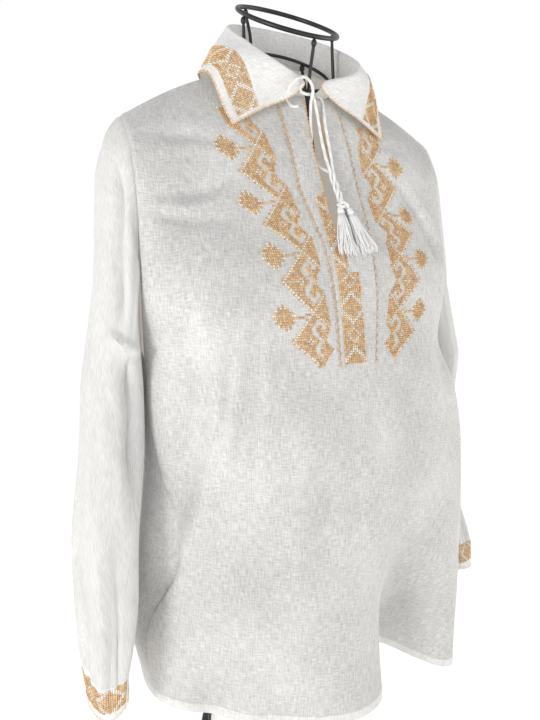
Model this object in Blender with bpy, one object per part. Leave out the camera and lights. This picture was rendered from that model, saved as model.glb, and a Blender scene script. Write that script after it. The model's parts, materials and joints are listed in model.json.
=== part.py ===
import math

import bpy
import bmesh
import numpy as np
from mathutils import Vector
from mathutils.bvhtree import BVHTree

# A long-sleeved tunic on a wire dress form.
# Metres; +Z up, the front faces -Y, the wearer's right is -X.
# Heights count from the floor under the form's foot ring.

# Named sizes
CLOTH = 0.0014            # wall of every cloth piece
GAP = 0.00035             # half of the space left at a seam
SHOULDER = (0.205, 0.000, 0.720)
NECK_POINT = (0.070, 0.010, 0.778)
NECK_FRONT = (-0.026, 0.756)      # y, z of the neck edge at the front
NECK_BACK = (0.054, 0.806)        # y, z of the neck edge at the back
SLIT_FOOT = 0.580
SLIT_TOP_HALF = 0.0070
SLIT_WIDE_HALF = 0.0095
SHIFT = (0.0152, -0.0180)        # plan position of the part's middle

ACROSS = 28               # columns of each body panel
MID = ACROSS // 2
NECK_COLUMNS = 4          # columns from the middle to the neck point
BANDS = (3, 3, 2, 2, 1, 3, 3, 2, 2)
ARMPIT = sum(BANDS[:5])   # the grid row of the armpit
TOP = sum(BANDS)

# Rings of the body from the hem up.  zc, zn, zf: height at the front
# middle, the near side (-X) and the far side.  xn, xf: half widths.
# yn, yf: where the front panel ends.  yc: the front's middle.
# nn, nf: squareness of the two halves.  bn, bf: where the back panel
# ends.  zb, yb: the back's middle.  nb: its squareness.
BODY = (
    # zc     zn     zf     xn     xf     yn      yf      yc     nn   nf   bn      bf      zb     yb    nb
    (0.080, 0.112, 0.050, 0.196, 0.234, -0.044, -0.012, -0.150, 1.4, 2.6, -0.044, -0.012, 0.090, 0.120, 2.2),
    (0.170, 0.184, 0.150, 0.199, 0.237, -0.026, -0.010, -0.147, 1.5, 2.6, -0.026, -0.010, 0.170, 0.116, 2.2),
    (0.270, 0.268, 0.262, 0.168, 0.232, -0.050, -0.010, -0.142, 1.6, 2.6, -0.050, -0.010, 0.270, 0.110, 2.2),
    (0.360, 0.356, 0.356, 0.181, 0.226, -0.030, -0.010, -0.137, 1.8, 2.5, -0.030, -0.010, 0.360, 0.106, 2.2),
    (0.425, 0.425, 0.425, 0.190, 0.216, -0.022, -0.014, -0.129, 2.1, 2.4, -0.022, -0.014, 0.425, 0.104, 2.2),
    (0.477, 0.480, 0.480, 0.190, 0.192, -0.012, -0.008, -0.120, 2.4, 2.5, -0.012, -0.008, 0.490, 0.105, 2.3),
    (0.575, 0.555, 0.555, 0.204, 0.190, -0.042, -0.036, -0.101, 2.8, 2.8, 0.034, 0.034, 0.580, 0.108, 2.5),
    (0.655, 0.635, 0.635, 0.205, 0.190, -0.040, -0.034, -0.068, 2.8, 2.8, 0.042, 0.042, 0.670, 0.098, 2.5),
    (0.712, 0.690, 0.690, 0.205, 0.198, -0.026, -0.020, -0.044, 2.6, 2.6, 0.030, 0.030, 0.745, 0.078, 2.4),
)
# How far the back panel stands out behind the near side seam, per ring.
BACK_SWELL = (0.004, 0.012, 0.038, 0.012, 0.002, 0.0, 0.0, 0.0, 0.0)


def ring_point(t, row, back):
    """One point of a body ring; t runs -1 (near edge) to 1 (far edge)."""
    zc, zn, zf, xn, xf, yn, yf, yc, nn, nf, bn, bf, zb, yb, nb = row
    side = abs(t)
    half, edge_y, edge_z, n = (xn, yn, zn, nn) if t < 0 else (xf, yf, zf, nf)
    mid_y, mid_z = yc, zc
    if back:
        edge_y, mid_y, mid_z, n = (bn if t < 0 else bf), yb, zb, nb
    s = math.sin(math.pi / 2 * side)
    swell = 0.0
    if back and t < 0:
        k = (1 - side) / 0.22
        swell = BACK_SWELL[BODY.index(row)] * k * math.exp(1 - k)
    rise = max(0.0, 1 - s ** n) ** (1 / n)
    x = math.copysign(half * s + swell, t) if t else 0.0
    y = edge_y + (mid_y - edge_y) * rise
    z = mid_z + (edge_z - mid_z) * s ** 2
    return (x, y, z)


def neck_edge(a):
    """The neck seam; a is 0 at the front middle and pi at the back."""
    c = math.cos(a)
    y = (NECK_FRONT[0] + NECK_BACK[0]) / 2 - (NECK_BACK[0] - NECK_FRONT[0]) / 2 * c
    z = (NECK_FRONT[1] + NECK_BACK[1]) / 2 - (NECK_BACK[1] - NECK_FRONT[1]) / 2 * c
    return (NECK_POINT[0] * math.sin(a), y, z)


def top_point(t, back):
    """The top edge of a body panel: shoulder seam, then neck edge."""
    cut = NECK_COLUMNS / MID
    side = abs(t)
    sign = -1 if t < 0 else 1
    if side >= cut:
        k = (side - cut) / (1 - cut)
        edge = neck_edge(math.pi / 2)
        x = edge[0] + (SHOULDER[0] - edge[0]) * k
        y = edge[1] + (SHOULDER[1] - edge[1]) * k
        z = edge[2] + (SHOULDER[2] - edge[2]) * k + 0.006 * math.sin(math.pi * k)
        return (sign * x, y, z)
    a = math.pi / 2 * side / cut
    p = neck_edge(math.pi - a if back else a)
    return (sign * p[0], p[1], p[2])


def through(keys, bands):
    """Smooth rows through key rows, with bands[i] steps in each gap."""
    keys = np.array(keys, float)
    first = 2 * keys[0] - keys[1]
    last = 2 * keys[-1] - keys[-2]
    k = np.concatenate([[first], keys, [last]])
    rows = []
    for i, steps in enumerate(bands):
        p0, p1, p2, p3 = k[i:i + 4]
        for j in range(steps):
            u = j / steps
            rows.append(0.5 * (2 * p1 + (p2 - p0) * u + (2 * p0 - 5 * p1 + 4 * p2 - p3) * u ** 2
                               + (3 * p1 - p0 - 3 * p2 + p3) * u ** 3))
    rows.append(keys[-1])
    return np.array(rows)


def bump(x, centre, width):
    d = (x - centre) / width
    return math.exp(-d * d)


def ramp(x, low, high):
    k = min(1.0, max(0.0, (x - low) / (high - low)))
    return k * k * (3 - 2 * k)


# The largest folds.  at: where across at the hem, in metres of x.
# lean: how far that moves per metre of height.  wide, deep: size at the
# hem.  top: the height where the fold has died out.
FRONT_FOLDS = (
    # at      lean    wide    deep    top
    (0.099, -0.10, 0.041, 0.096, 0.370),
    (-0.150, 0.05, 0.020, 0.012, 0.400),
    (-0.085, -0.10, 0.030, 0.008, 0.420),
    (0.205, -0.05, 0.020, 0.006, 0.300),
)
BACK_FOLDS = (
    (-0.120, 0.05, 0.030, 0.045, 0.380),
    (0.000, 0.00, 0.034, 0.040, 0.420),
    (0.125, -0.05, 0.030, 0.042, 0.360),
)


def folded(p, folds, way, t):
    """Push a body point in where a fold runs; the side seams stay put."""
    x, y, z = p
    hold = 1 - abs(t) ** 10
    for at, lean, wide, deep, top in folds:
        centre = at + lean * (z - 0.08)
        fade = 1 - ramp(z, 0.06, top)
        spread = wide * (1 + 0.5 * (1 - fade))
        push = hold * fade ** 1.3 * bump(x, centre, spread)
        y += way * deep * push
        z += 0.012 * push * ramp(deep, 0.03, 0.09)
    return (x, y, z)


def slit_half(z):
    """Half of the slit's opening at a height."""
    k = (z - SLIT_FOOT) / (NECK_FRONT[1] - SLIT_FOOT)
    if k <= 0:
        return 0.0
    return SLIT_TOP_HALF * k + (SLIT_WIDE_HALF - SLIT_TOP_HALF * 0.6) * math.sin(math.pi * min(1, k))


def panel(back):
    """A body panel as rows of points from hem to shoulder."""
    ts = np.linspace(-1, 1, ACROSS + 1)
    keys = [[ring_point(t, row, back) for t in ts] for row in BODY]
    keys.append([top_point(t, back) for t in ts])
    rows = through(keys, BANDS)
    folds, way = (BACK_FOLDS, -1) if back else (FRONT_FOLDS, 1)
    out = np.array([[folded(p, folds, way, t) for p, t in zip(row, ts)] for row in rows])
    return out


def normals(grid):
    """Unit normals of a grid of points."""
    du = np.gradient(grid, axis=1)
    dv = np.gradient(grid, axis=0)
    n = np.cross(du, dv)
    size = np.linalg.norm(n, axis=2, keepdims=True)
    return n / np.maximum(size, 1e-12)


def add_mesh(name, verts, faces, colour):
    mesh = bpy.data.meshes.new(name)
    shifted = [(v[0] - SHIFT[0], v[1] - SHIFT[1], v[2]) for v in verts]
    mesh.from_pydata([tuple(map(float, v)) for v in shifted], [], faces)
    mesh.update()
    obj = bpy.data.objects.new(name, mesh)
    bpy.context.scene.collection.objects.link(obj)
    bm = bmesh.new()
    bm.from_mesh(mesh)
    bmesh.ops.recalc_face_normals(bm, faces=bm.faces)
    bm.to_mesh(mesh)
    bm.free()
    for poly in mesh.polygons:
        poly.use_smooth = True
    mesh.materials.append(material(colour))
    return obj


COLOURS = {
    "white_gauze": (0.86, 0.87, 0.87, 1.0, 0.85),
    "white_cord": (0.93, 0.93, 0.92, 1.0, 0.8),
    "black_wire": (0.012, 0.012, 0.014, 1.0, 0.35),
}


def material(slot):
    mat = bpy.data.materials.get(slot)
    if mat is None:
        mat = bpy.data.materials.new(slot)
        mat.use_nodes = True
        r, g, b, a, rough = COLOURS[slot]
        shader = mat.node_tree.nodes["Principled BSDF"]
        shader.inputs["Base Color"].default_value = (r, g, b, a)
        shader.inputs["Roughness"].default_value = rough
        mat.diffuse_color = (r, g, b, a)
    return mat


def unit(v):
    v = np.asarray(v, float)
    return v / max(np.linalg.norm(v), 1e-12)


def share(spots):
    """Give the edge points that meet in a seam one common normal."""
    total = sum(n[r, c] for n, r, c in spots)
    for n, r, c in spots:
        n[r, c] = unit(total)


def draw_back(grid, n, r, c, inner_r, inner_c, by=GAP):
    """Move one edge point into its own piece, away from the seam."""
    d = grid[inner_r, inner_c] - grid[r, c]
    d = d - n[r, c] * np.dot(d, n[r, c])
    grid[r, c] = grid[r, c] + unit(d) * by


def thick(name, grid, n, colour, wall=CLOTH, closed=False, slit_from=None):
    """Close a grid of points into a cloth wall standing outward."""
    rows, cols = grid.shape[:2]
    inner = [tuple(p) for p in grid.reshape(-1, 3)]
    out = [tuple(p) for p in (grid + n * wall).reshape(-1, 3)]
    left = np.arange(rows * cols).reshape(rows, cols)
    right = left.copy()
    if slit_from is not None:
        for r in range(slit_from + 1, rows):
            p, q, h = grid[r, MID], n[r, MID], slit_half(grid[r, MID][2])
            shift = np.array([h, 0, 0])
            right[r, MID] = len(inner)
            inner[left[r, MID]] = tuple(p - shift)
            out[left[r, MID]] = tuple(p - shift + q * wall)
            inner.append(tuple(p + shift))
            out.append(tuple(p + shift + q * wall))
    quads = []
    for r in range(rows - 1):
        for c in range(cols - 1 + (1 if closed else 0)):
            d = (c + 1) % cols
            quads.append((right[r, c], left[r, d], left[r + 1, d], right[r + 1, c]))
    return close_wall(name, inner, out, quads, colour)


def close_wall(name, inner, out, quads, colour):
    """Join an inner and an outer skin along their open edges."""
    count = len(inner)
    used = {}
    for q in quads:
        for a, b in zip(q, q[1:] + q[:1]):
            used.setdefault((min(a, b), max(a, b)), []).append((a, b))
    faces = []
    for a, b, c, d in quads:
        split = ((a, b, c), (a, c, d))
        if math.dist(inner[b], inner[d]) < math.dist(inner[a], inner[c]):
            split = ((a, b, d), (b, c, d))
        for tri in split:
            faces.append(tuple(int(i) + count for i in tri))
            faces.append(tuple(int(i) for i in reversed(tri)))
    for edge in used.values():
        if len(edge) == 1:
            a, b = edge[0]
            faces.append((int(b) + count, int(a) + count, int(a), int(b)))
    return add_mesh(name, inner + out, faces, colour)


# Sleeves and cuffs
# Ovals of each sleeve from under the armpit down: height, middle,
# half widths, and how far the front side of the ring is lifted.
SLEEVE = {
    "right": (
        # z      x       y       ax      ay      lift
        (0.455, 0.2235, -0.004, 0.0285, 0.042, 0.000),
        (0.380, 0.2285, -0.012, 0.0300, 0.045, 0.000),
        (0.300, 0.2380, -0.016, 0.0300, 0.045, 0.000),
        (0.235, 0.2425, -0.026, 0.0285, 0.041, 0.000),
        (0.200, 0.2475, -0.033, 0.0235, 0.038, 0.001),
        (0.174, 0.2510, -0.037, 0.0200, 0.035, 0.002),
        (0.131, 0.2500, -0.039, 0.0180, 0.029, 0.008),
    ),
    "left": (
        (0.452, 0.2400, 0.000, 0.0235, 0.040, 0.000),
        (0.380, 0.2540, 0.022, 0.0225, 0.041, 0.000),
        (0.300, 0.2600, 0.030, 0.0220, 0.040, 0.000),
        (0.235, 0.2700, 0.018, 0.0240, 0.038, 0.000),
        (0.200, 0.2740, 0.006, 0.0260, 0.036, 0.001),
        (0.174, 0.2760, -0.006, 0.0260, 0.034, 0.002),
        (0.136, 0.2770, -0.018, 0.0235, 0.029, 0.006),
    ),
}
# How far the sleeve cap swells outward and sideways.
CAP = {"right": (0.013, 0.004), "left": (0.010, 0.000)}
UNDERARM = 0.0044         # how far the sleeve stands off the side seam
CAP_STEPS = (0.10, 0.22, 0.38, 0.58, 0.80)
AROUND = 2 * (TOP - ARMPIT)


def oval(row, sign, k):
    """A point of a sleeve ring; k 0 is the side next to the body."""
    z, x, y, ax, ay, lift = row
    a = 2 * math.pi * k / AROUND
    px = sign * (x - ax * math.cos(a))
    py = y - ay * math.sin(a)
    return np.array([px, py, z + lift * math.sin(a)])


def sleeve_folds(p, k, row, sign):
    """Long soft pleats that gather towards the cuff."""
    z = row[0]
    a = 2 * math.pi * k / AROUND
    reach = ramp(0.46 - z, 0.0, 0.20) * (1 - 0.5 * ramp(0.20 - z, 0.0, 0.05))
    push = 0.0035 * reach * math.cos(5 * a + 0.6)
    away = unit(np.array([-sign * math.cos(a), -math.sin(a), 0.0]))
    return p + away * push


def armhole(front, back, column):
    """The edge points round an armhole: front up, then back down."""
    up = [(front, r, column) for r in range(ARMPIT, TOP + 1)]
    down = [(back, r, column) for r in range(TOP - 1, ARMPIT, -1)]
    return up + down


def tucked(k):
    """1 under the arm, 0 from a third of the way up the armhole."""
    k = min(k % AROUND, -k % AROUND)
    return math.exp(-(k / 4.5) ** 4)


def sleeve(loop, sign, rings, cap):
    """Rows of the sleeve from the armhole to the cuff seam."""
    start = np.array([g[r, c] for g, r, c in loop])
    for k in range(-6, 7):
        start[k] = start[k] + np.array([sign * UNDERARM * tucked(k), 0, 0])
    first = np.array([oval(rings[0], sign, k) for k in range(AROUND)])
    rows = [start]
    for u in CAP_STEPS:
        line = []
        for k in range(AROUND):
            a = 2 * math.pi * k / AROUND
            outer = (1 - math.cos(a)) / 2
            swell = cap[0] * outer ** 2 * (u / 0.12) * math.exp(1 - u / 0.12)
            side = cap[1] * math.sin(a) * math.sin(math.pi * u)
            inner = ((1 + math.cos(a)) / 2) ** 3
            swell += 0.0015 * inner * math.sin(math.pi * u)
            p = start[k] * (1 - u) + first[k] * u
            line.append(p + np.array([sign * swell, -side, 0.0]))
        rows.append(np.array(line))
    keys = [first] + [np.array([oval(row, sign, k) for k in range(AROUND)]) for row in rings[1:-1]]
    low = through(keys, (2, 2, 2, 1, 1))
    for line in low:
        out = []
        for k, p in enumerate(line):
            out.append(sleeve_folds(p, k, (p[2],), sign))
        rows.append(np.array(out))
    return np.array(rows)


def wrap_normals(grid, sign):
    """Normals of a grid that closes round on itself."""
    wide = np.concatenate([grid[:, -1:], grid, grid[:, :1]], axis=1)
    return normals(wide)[:, 1:-1] * sign


# Collar
# Half of the collar from its front end (u 0) to the back middle (u 1).
# fold: the roll line.  edge: the free edge of the leaf.
COLLAR_FOLD = (
    # x      y       z
    (0.016, -0.032, 0.772),
    (0.048, -0.038, 0.782),
    (0.070, -0.022, 0.802),
    (0.069, 0.020, 0.826),
    (0.046, 0.052, 0.842),
    (0.000, 0.066, 0.848),
)
COLLAR_EDGE = (
    (0.0990, -0.0345, 0.7150),
    (0.1040, -0.0250, 0.7320),
    (0.1090, -0.0060, 0.7700),
    (0.1020, 0.0340, 0.7790),
    (0.0680, 0.0740, 0.7780),
    (0.0000, 0.0900, 0.7800),
)


def half_curve(table, count):
    """Points along a half of the collar, evenly spaced by length."""
    fine = through(table, [12] * (len(table) - 1))
    mirror = fine[::-1][1:] * np.array([-1, 1, 1])
    whole = np.concatenate([fine, mirror])[::-1]
    length = np.concatenate([[0], np.cumsum(np.linalg.norm(np.diff(whole, axis=0), axis=1))])
    at = np.linspace(0, length[-1], count)
    return np.array([[np.interp(a, length, whole[:, i]) for i in range(3)] for a in at])


# Clear the file
for old in list(bpy.data.objects):
    bpy.data.objects.remove(old, do_unlink=True)

# Body panels and sleeves
front = panel(False)
back = panel(True)
front_n = normals(front)
back_n = normals(back) * -1
sleeves = {}
for side, column, sign in (("right", 0, -1), ("left", ACROSS, 1)):
    loop = armhole(front, back, column)
    grid = sleeve(loop, sign, SLEEVE[side], CAP[side])
    n = wrap_normals(grid, -sign)
    for r in range(len(CAP_STEPS) + 1):
        for k in range(AROUND):
            a = 2 * math.pi * k / AROUND
            level = np.array([-sign * math.cos(a), -math.sin(a), 0.0])
            n[r, k] = unit(n[r, k] * (1 - tucked(k)) + level * tucked(k))
    sleeves[side] = (grid, n)
    for r in range(ARMPIT):
        share([(front_n, r, column), (back_n, r, column)])
    share([(front_n, ARMPIT, column), (back_n, ARMPIT, column)])
    share([(front_n, TOP, column), (back_n, TOP, column), (n, 0, AROUND // 2)])
    for k in range(1, AROUND):
        if k == AROUND // 2 or min(k, AROUND - k) < 4:
            continue
        is_front = k < AROUND // 2
        r = ARMPIT + (k if is_front else AROUND - k)
        share([(front_n if is_front else back_n, r, column), (n, 0, k)])
for c in range(1, ACROSS):
    if abs(c - MID) >= NECK_COLUMNS:
        share([(front_n, TOP, c), (back_n, TOP, c)])

neck_line = []
near_front = [(front, front_n, TOP, c) for c in range(MID - 1, MID - NECK_COLUMNS, -1)]
round_back = [(back, back_n, TOP, c) for c in range(MID - NECK_COLUMNS, MID + NECK_COLUMNS + 1)]
far_front = [(front, front_n, TOP, c) for c in range(MID + NECK_COLUMNS - 1, MID, -1)]
edge_half = slit_half(front[TOP, MID][2])
edge_mid = front[TOP, MID] + front_n[TOP, MID] * CLOTH
neck_line.append(edge_mid - np.array([edge_half, 0, 0]))
for g, n, r, c in near_front + round_back + far_front:
    neck_line.append(g[r, c] + n[r, c] * CLOTH)
neck_line.append(edge_mid + np.array([edge_half, 0, 0]))
neck_line = np.array(neck_line)

for side, column, inward in (("right", 0, 1), ("left", ACROSS, -1)):
    for r in range(TOP + 1):
        for g, n in ((front, front_n), (back, back_n)):
            draw_back(g, n, r, column, r, column + inward)
for c in range(ACROSS + 1):
    if abs(c - MID) >= NECK_COLUMNS:
        for g, n in ((front, front_n), (back, back_n)):
            draw_back(g, n, TOP, c, TOP - 1, c)

slit_row = int(np.argmin(np.abs(front[:, MID, 2] - SLIT_FOOT)))
SLIT_FOOT = float(front[slit_row, MID, 2])
thick("tunic_front", front, front_n, "white_gauze", slit_from=slit_row)
thick("tunic_back", back[:, ::-1], back_n[:, ::-1], "white_gauze")

for side, sign in (("right", -1), ("left", 1)):
    grid, n = sleeves[side]
    last = len(grid) - 1
    foot = np.array([oval(SLEEVE[side][-1], sign, k) for k in range(AROUND)])
    middle = (grid[last] * 0.5 + foot * 0.5) + (grid[last] - foot) * 0.02
    cuff = np.array([grid[last], middle, foot])
    cuff_n = wrap_normals(cuff, -sign)
    for k in range(AROUND):
        share([(n, last, k), (cuff_n, 0, k)])
    for k in range(AROUND):
        draw_back(grid, n, 0, k, 1, k)
        draw_back(grid, n, last, k, last - 1, k)
        draw_back(cuff, cuff_n, 0, k, 1, k)
    thick("sleeve_" + side, grid, n, "white_gauze", closed=True)
    # The cuff is a band left open where it buttons, at the inner front.
    order = [(k + 3) % AROUND for k in range(AROUND)] + [3]
    strip, strip_n = cuff[:, order].copy(), cuff_n[:, order].copy()
    for r in range(3):
        draw_back(strip, strip_n, r, 0, r, 1, 0.0012)
        draw_back(strip, strip_n, r, AROUND, r, AROUND - 1, 0.0012)
    thick("cuff_" + side, strip, strip_n, "white_gauze")

# Placket: the applied strip that frames the slit
PLACKET_HALF = 0.027
PLACKET_FOOT = 0.470
PLACKET_OUT = CLOTH + 0.0005


def on_front(r, x):
    """The front panel at a row and a distance x, with its normal."""
    row = front[r]
    h = slit_half(row[MID][2]) if r > slit_row else 0.0
    c = MID if x >= 0 else MID - 1
    lo, hi = row[c].copy(), row[c + 1].copy()
    n_lo, n_hi = front_n[r, c], front_n[r, c + 1]
    if x >= 0:
        lo[0] += h
        while x > hi[0]:
            c += 1
            lo, hi = row[c], row[c + 1]
            n_lo, n_hi = front_n[r, c], front_n[r, c + 1]
    else:
        hi[0] -= h
        while x < lo[0]:
            c -= 1
            lo, hi = row[c], row[c + 1]
            n_lo, n_hi = front_n[r, c], front_n[r, c + 1]
    k = (x - lo[0]) / (hi[0] - lo[0])
    return lo + (hi - lo) * k, n_lo + (n_hi - n_lo) * k


placket_rows = [r for r in range(TOP) if front[r, MID, 2] > PLACKET_FOOT]
inner, out, left_of, right_of = [], [], {}, {}
for r in placket_rows:
    h = slit_half(front[r, MID, 2]) if r > slit_row else 0.0
    xs = [-h - PLACKET_HALF, -h - PLACKET_HALF / 2, -h, h, h + PLACKET_HALF / 2, h + PLACKET_HALF]
    if r <= slit_row:
        xs[3] = None
    for i, x in enumerate(xs):
        if x is None:
            continue
        p, n = on_front(r, x)
        left_of[r, i], right_of[r, i] = len(inner), len(inner)
        inner.append(tuple(p + n * PLACKET_OUT))
        out.append(tuple(p + n * (PLACKET_OUT + CLOTH)))
    if r <= slit_row:
        left_of[r, 3] = left_of[r, 2]
quads = []
for a, b in zip(placket_rows, placket_rows[1:]):
    for i, j in ((0, 1), (1, 2), (3, 4), (4, 5)):
        quads.append((left_of[a, i], left_of[a, j], left_of[b, j], left_of[b, i]))
close_wall("placket", inner, out, quads, "white_gauze")

# Collar
COLLAR_COLUMNS = 2 * (len(neck_line) - 1) + 1
foot = np.array([neck_line[i // 2] if i % 2 == 0 else (neck_line[i // 2] + neck_line[i // 2 + 1]) / 2
                 for i in range(COLLAR_COLUMNS)])
foot = foot + np.array([0, 0, 0.0006])
fold = half_curve(COLLAR_FOLD, COLLAR_COLUMNS)
edge = half_curve(COLLAR_EDGE, COLLAR_COLUMNS)
centre = np.array([0, 0.016, 0.8])
rows = []
for i in range(COLLAR_COLUMNS):
    f, a, b = fold[i], foot[i], edge[i]
    along = fold[min(i + 1, COLLAR_COLUMNS - 1)] - fold[max(i - 1, 0)]
    away = unit(np.array([-along[1], along[0], 0]))
    if np.dot(away, f - centre) < 0:
        away = -away
    inside = f - np.array([0, 0, 0.0030]) - away * 0.0005
    over = f - np.array([0, 0, 0.0030]) + away * 0.0052
    swell = away * 0.003 + np.array([0, 0, 0.003])
    rows.append([a, a * 0.5 + inside * 0.5, inside, f + away * 0.0022, over,
                 over * 0.66 + b * 0.34 + swell, over * 0.33 + b * 0.67 + swell * 0.8, b])
collar = np.array(rows)
under = []
for name in ("tunic_front", "tunic_back", "placket"):
    under.append(BVHTree.FromObject(bpy.data.objects[name], bpy.context.evaluated_depsgraph_get()))


def shortage(p, way, least):
    """How far a collar point must move along way to stand clear."""
    p = Vector((p[0] - SHIFT[0], p[1] - SHIFT[1], p[2]))
    most = 0.0
    for tree in under:
        hit, n, _, distance = tree.find_nearest(p, 0.015)
        if hit is not None:
            if distance < 0.004 and (p - hit).dot(n) < -0.3 * distance:
                distance = -distance
            most = max(most, (least - distance) / max(0.6, n.dot(Vector(way))))
    return most


faced = []
for i in range(COLLAR_COLUMNS):
    p = Vector((collar[i, 6][0] - SHIFT[0], collar[i, 6][1] - SHIFT[1], collar[i, 6][2]))
    faced.append(np.array(min((tree.find_nearest(p) for tree in under), key=lambda h: h[3])[1]))
ways = [unit(sum(faced[max(0, i - 2):i + 3])) for i in range(COLLAR_COLUMNS)]
for _ in range(3):
    need = np.zeros(COLLAR_COLUMNS)
    for i in range(COLLAR_COLUMNS):
        for j in range(4, collar.shape[1]):
            for k in (0.0, 0.33, 0.67):
                for m in (0.0, 0.5):
                    i2, j2 = min(i + 1, COLLAR_COLUMNS - 1), min(j + 1, collar.shape[1] - 1)
                    p = (collar[i, j] * (1 - k) + collar[i2, j] * k) * (1 - m)
                    p = p + (collar[i, j2] * (1 - k) + collar[i2, j2] * k) * m
                    short = shortage(p, ways[i], 0.0012)
                    need[i] = max(need[i], short)
                    if k:
                        need[i2] = max(need[i2], short)
    wide = np.concatenate([need[:1], need[:1], need, need[-1:], need[-1:]])
    need = np.maximum(need, np.maximum(0.7 * wide[1:-3], 0.7 * wide[3:-1]))
    need = np.maximum(need, np.maximum(0.4 * wide[:-4], 0.4 * wide[4:]))
    for i in range(COLLAR_COLUMNS):
        collar[i, 4:] = collar[i, 4:] + ways[i] * need[i]
        collar[i, 3] = collar[i, 3] + ways[i] * need[i] * 0.5
collar_n = normals(collar)
if collar_n[COLLAR_COLUMNS // 2, 6][1] < 0:
    collar_n = collar_n * -1
thick("collar", collar, collar_n, "white_gauze")


# Wire dress form
WIRE = 0.0020             # radius of ribs and hoops
NECK_WIRE = 0.0027        # radius of the neck ring
CLEAR = 0.0004            # space left between two wires
NECK_RING = (-0.003, 0.010, 0.842, 0.058, 27.0)   # middle, radius, tilt in degrees
SIDES = 6


def tube(name, path, radius, closed=False, sides=SIDES, flat=None):
    """A wire along a path; flat gives a square bar of that width."""
    path = [Vector(p) for p in path]
    count = len(path)
    rings = []
    up = Vector((0, 0, 1))
    prev = None
    for i, p in enumerate(path):
        a = path[(i - 1) % count] if closed or i else p
        b = path[(i + 1) % count] if closed or i < count - 1 else p
        d = (b - a).normalized()
        if flat:
            side = d.cross(up).normalized()
            top = up
        else:
            if prev is None:
                prev = d.orthogonal().normalized() if abs(d.z) > 0.9 else d.cross(up).normalized()
            side = (prev - d * prev.dot(d)).normalized()
            top = side.cross(d).normalized()
            prev = side
        if flat:
            w, h = flat
            corners = ((1, -1), (1, 1), (-1, 1), (-1, -1))
            ring = [p + side * sx * w / 2 + top * sz * h / 2 for sx, sz in corners]
        else:
            ring = [p + (side * math.cos(t) + top * math.sin(t)) * radius
                    for t in (2 * math.pi * j / sides for j in range(sides))]
        rings.append(ring)
    n = len(rings[0])
    verts = [tuple(v) for ring in rings for v in ring]
    faces = []
    for i in range(count if closed else count - 1):
        k = (i + 1) % count
        turn = 0
        if closed and i == count - 1:
            apart = [sum((rings[i][j] - rings[0][(j + s) % n]).length for j in range(n)) for s in range(n)]
            turn = apart.index(min(apart))
        for j in range(n):
            a, b = i * n + j, i * n + (j + 1) % n
            c, d = k * n + (j + 1 + turn) % n, k * n + (j + turn) % n
            faces.append((a, b, c, d))
    if not closed:
        faces.append(tuple(range(n - 1, -1, -1)))
        faces.append(tuple((count - 1) * n + j for j in range(n)))
    return add_mesh(name, verts, faces, "black_wire")


def loop_points(middle, half_x, half_y, count, tilt=0.0, start=0.0):
    """Points of a level or tilted oval; tilt lifts its back."""
    out = []
    for i in range(count):
        a = start + 2 * math.pi * i / count
        y = half_y * -math.cos(a)
        x = middle[0] + half_x * math.sin(a)
        out.append((x, middle[1] + y * math.cos(tilt), middle[2] + y * math.sin(tilt)))
    return out


# Hoops of the form: height, middle y, half widths.
HOOPS = {
    "form_hoop_bust": (0.565, 0.006, 0.142, 0.078),
    "form_hoop_waist": (0.340, 0.004, 0.108, 0.066),
}
BASE_HOOP = (0.0, 0.012, 0.790, 0.054, 0.040, 38.0)   # middle, half widths, tilt
FOOT_BAR = (0.010, 0.006)                      # width and height of the bar
FOOT_RING = (0.003, 0.000, 0.112, 0.072)       # height, middle y, half widths
tilt = math.radians(NECK_RING[4])
tube("form_neck_ring", loop_points(NECK_RING[:3], NECK_RING[3], NECK_RING[3], 36, tilt), NECK_WIRE, True)
for name, (z, y, hx, hy) in HOOPS.items():
    tube(name, loop_points((0, y, z), hx, hy, 34), WIRE, True)
base_tilt = math.radians(BASE_HOOP[5])
tube("form_hoop_neck", loop_points(BASE_HOOP[:3], BASE_HOOP[3], BASE_HOOP[4], 28, base_tilt), WIRE, True)
z, y, hx, hy = FOOT_RING
tube("form_foot_ring", loop_points((0, y, z), hx, hy, 40), 0, True, flat=FOOT_BAR)


def on_hoop(hoop, a, out):
    """A point of a hoop's outline, moved out from it."""
    z, y, hx, hy = hoop
    p = Vector((hx * math.sin(a), y - hy * math.cos(a), z))
    n = Vector((math.sin(a) / hx, -math.cos(a) / hy, 0)).normalized()
    return p + n * out


def on_neck(a, below):
    y = NECK_RING[3] * -math.cos(a)
    return Vector((NECK_RING[0] + NECK_RING[3] * math.sin(a), NECK_RING[1] + y * math.cos(tilt),
                   NECK_RING[2] + y * math.sin(tilt) - below))


def under_base(a, below):
    y = BASE_HOOP[4] * -math.cos(a)
    return Vector((BASE_HOOP[3] * math.sin(a), BASE_HOOP[1] + y * math.cos(base_tilt),
                   BASE_HOOP[2] + y * math.sin(base_tilt) - below))


# Ribs: name, where it hangs from, the angle there, way points down to
# the bust hoop, and the angle on the hoops and the foot ring.
RIBS = (
    ("front", "ring", 0.0, ((0.000, -0.0285, 0.765), (0.000, -0.036, 0.700)), 0.0),
    ("side_left", "ring", 84.0, "shoulder", 90.0),
    ("side_right", "ring", -88.0, "shoulder", -90.0),
    ("back_right", "ring", -150.0, ((-0.0315, 0.0435, 0.808), (-0.066, 0.058, 0.735)), -138.0),
    ("front_left", "base", 48.0, ((0.050, -0.002, 0.750), (0.078, -0.010, 0.715)), 42.0),
    ("front_right", "base", -48.0, ((-0.050, -0.002, 0.750), (-0.078, -0.010, 0.715)), -42.0),
    ("back_left", "base", 140.0, ((0.066, 0.058, 0.735),), 138.0),
    ("back", "base", 180.0, ((0.000, 0.056, 0.730),), 180.0),
)


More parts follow.
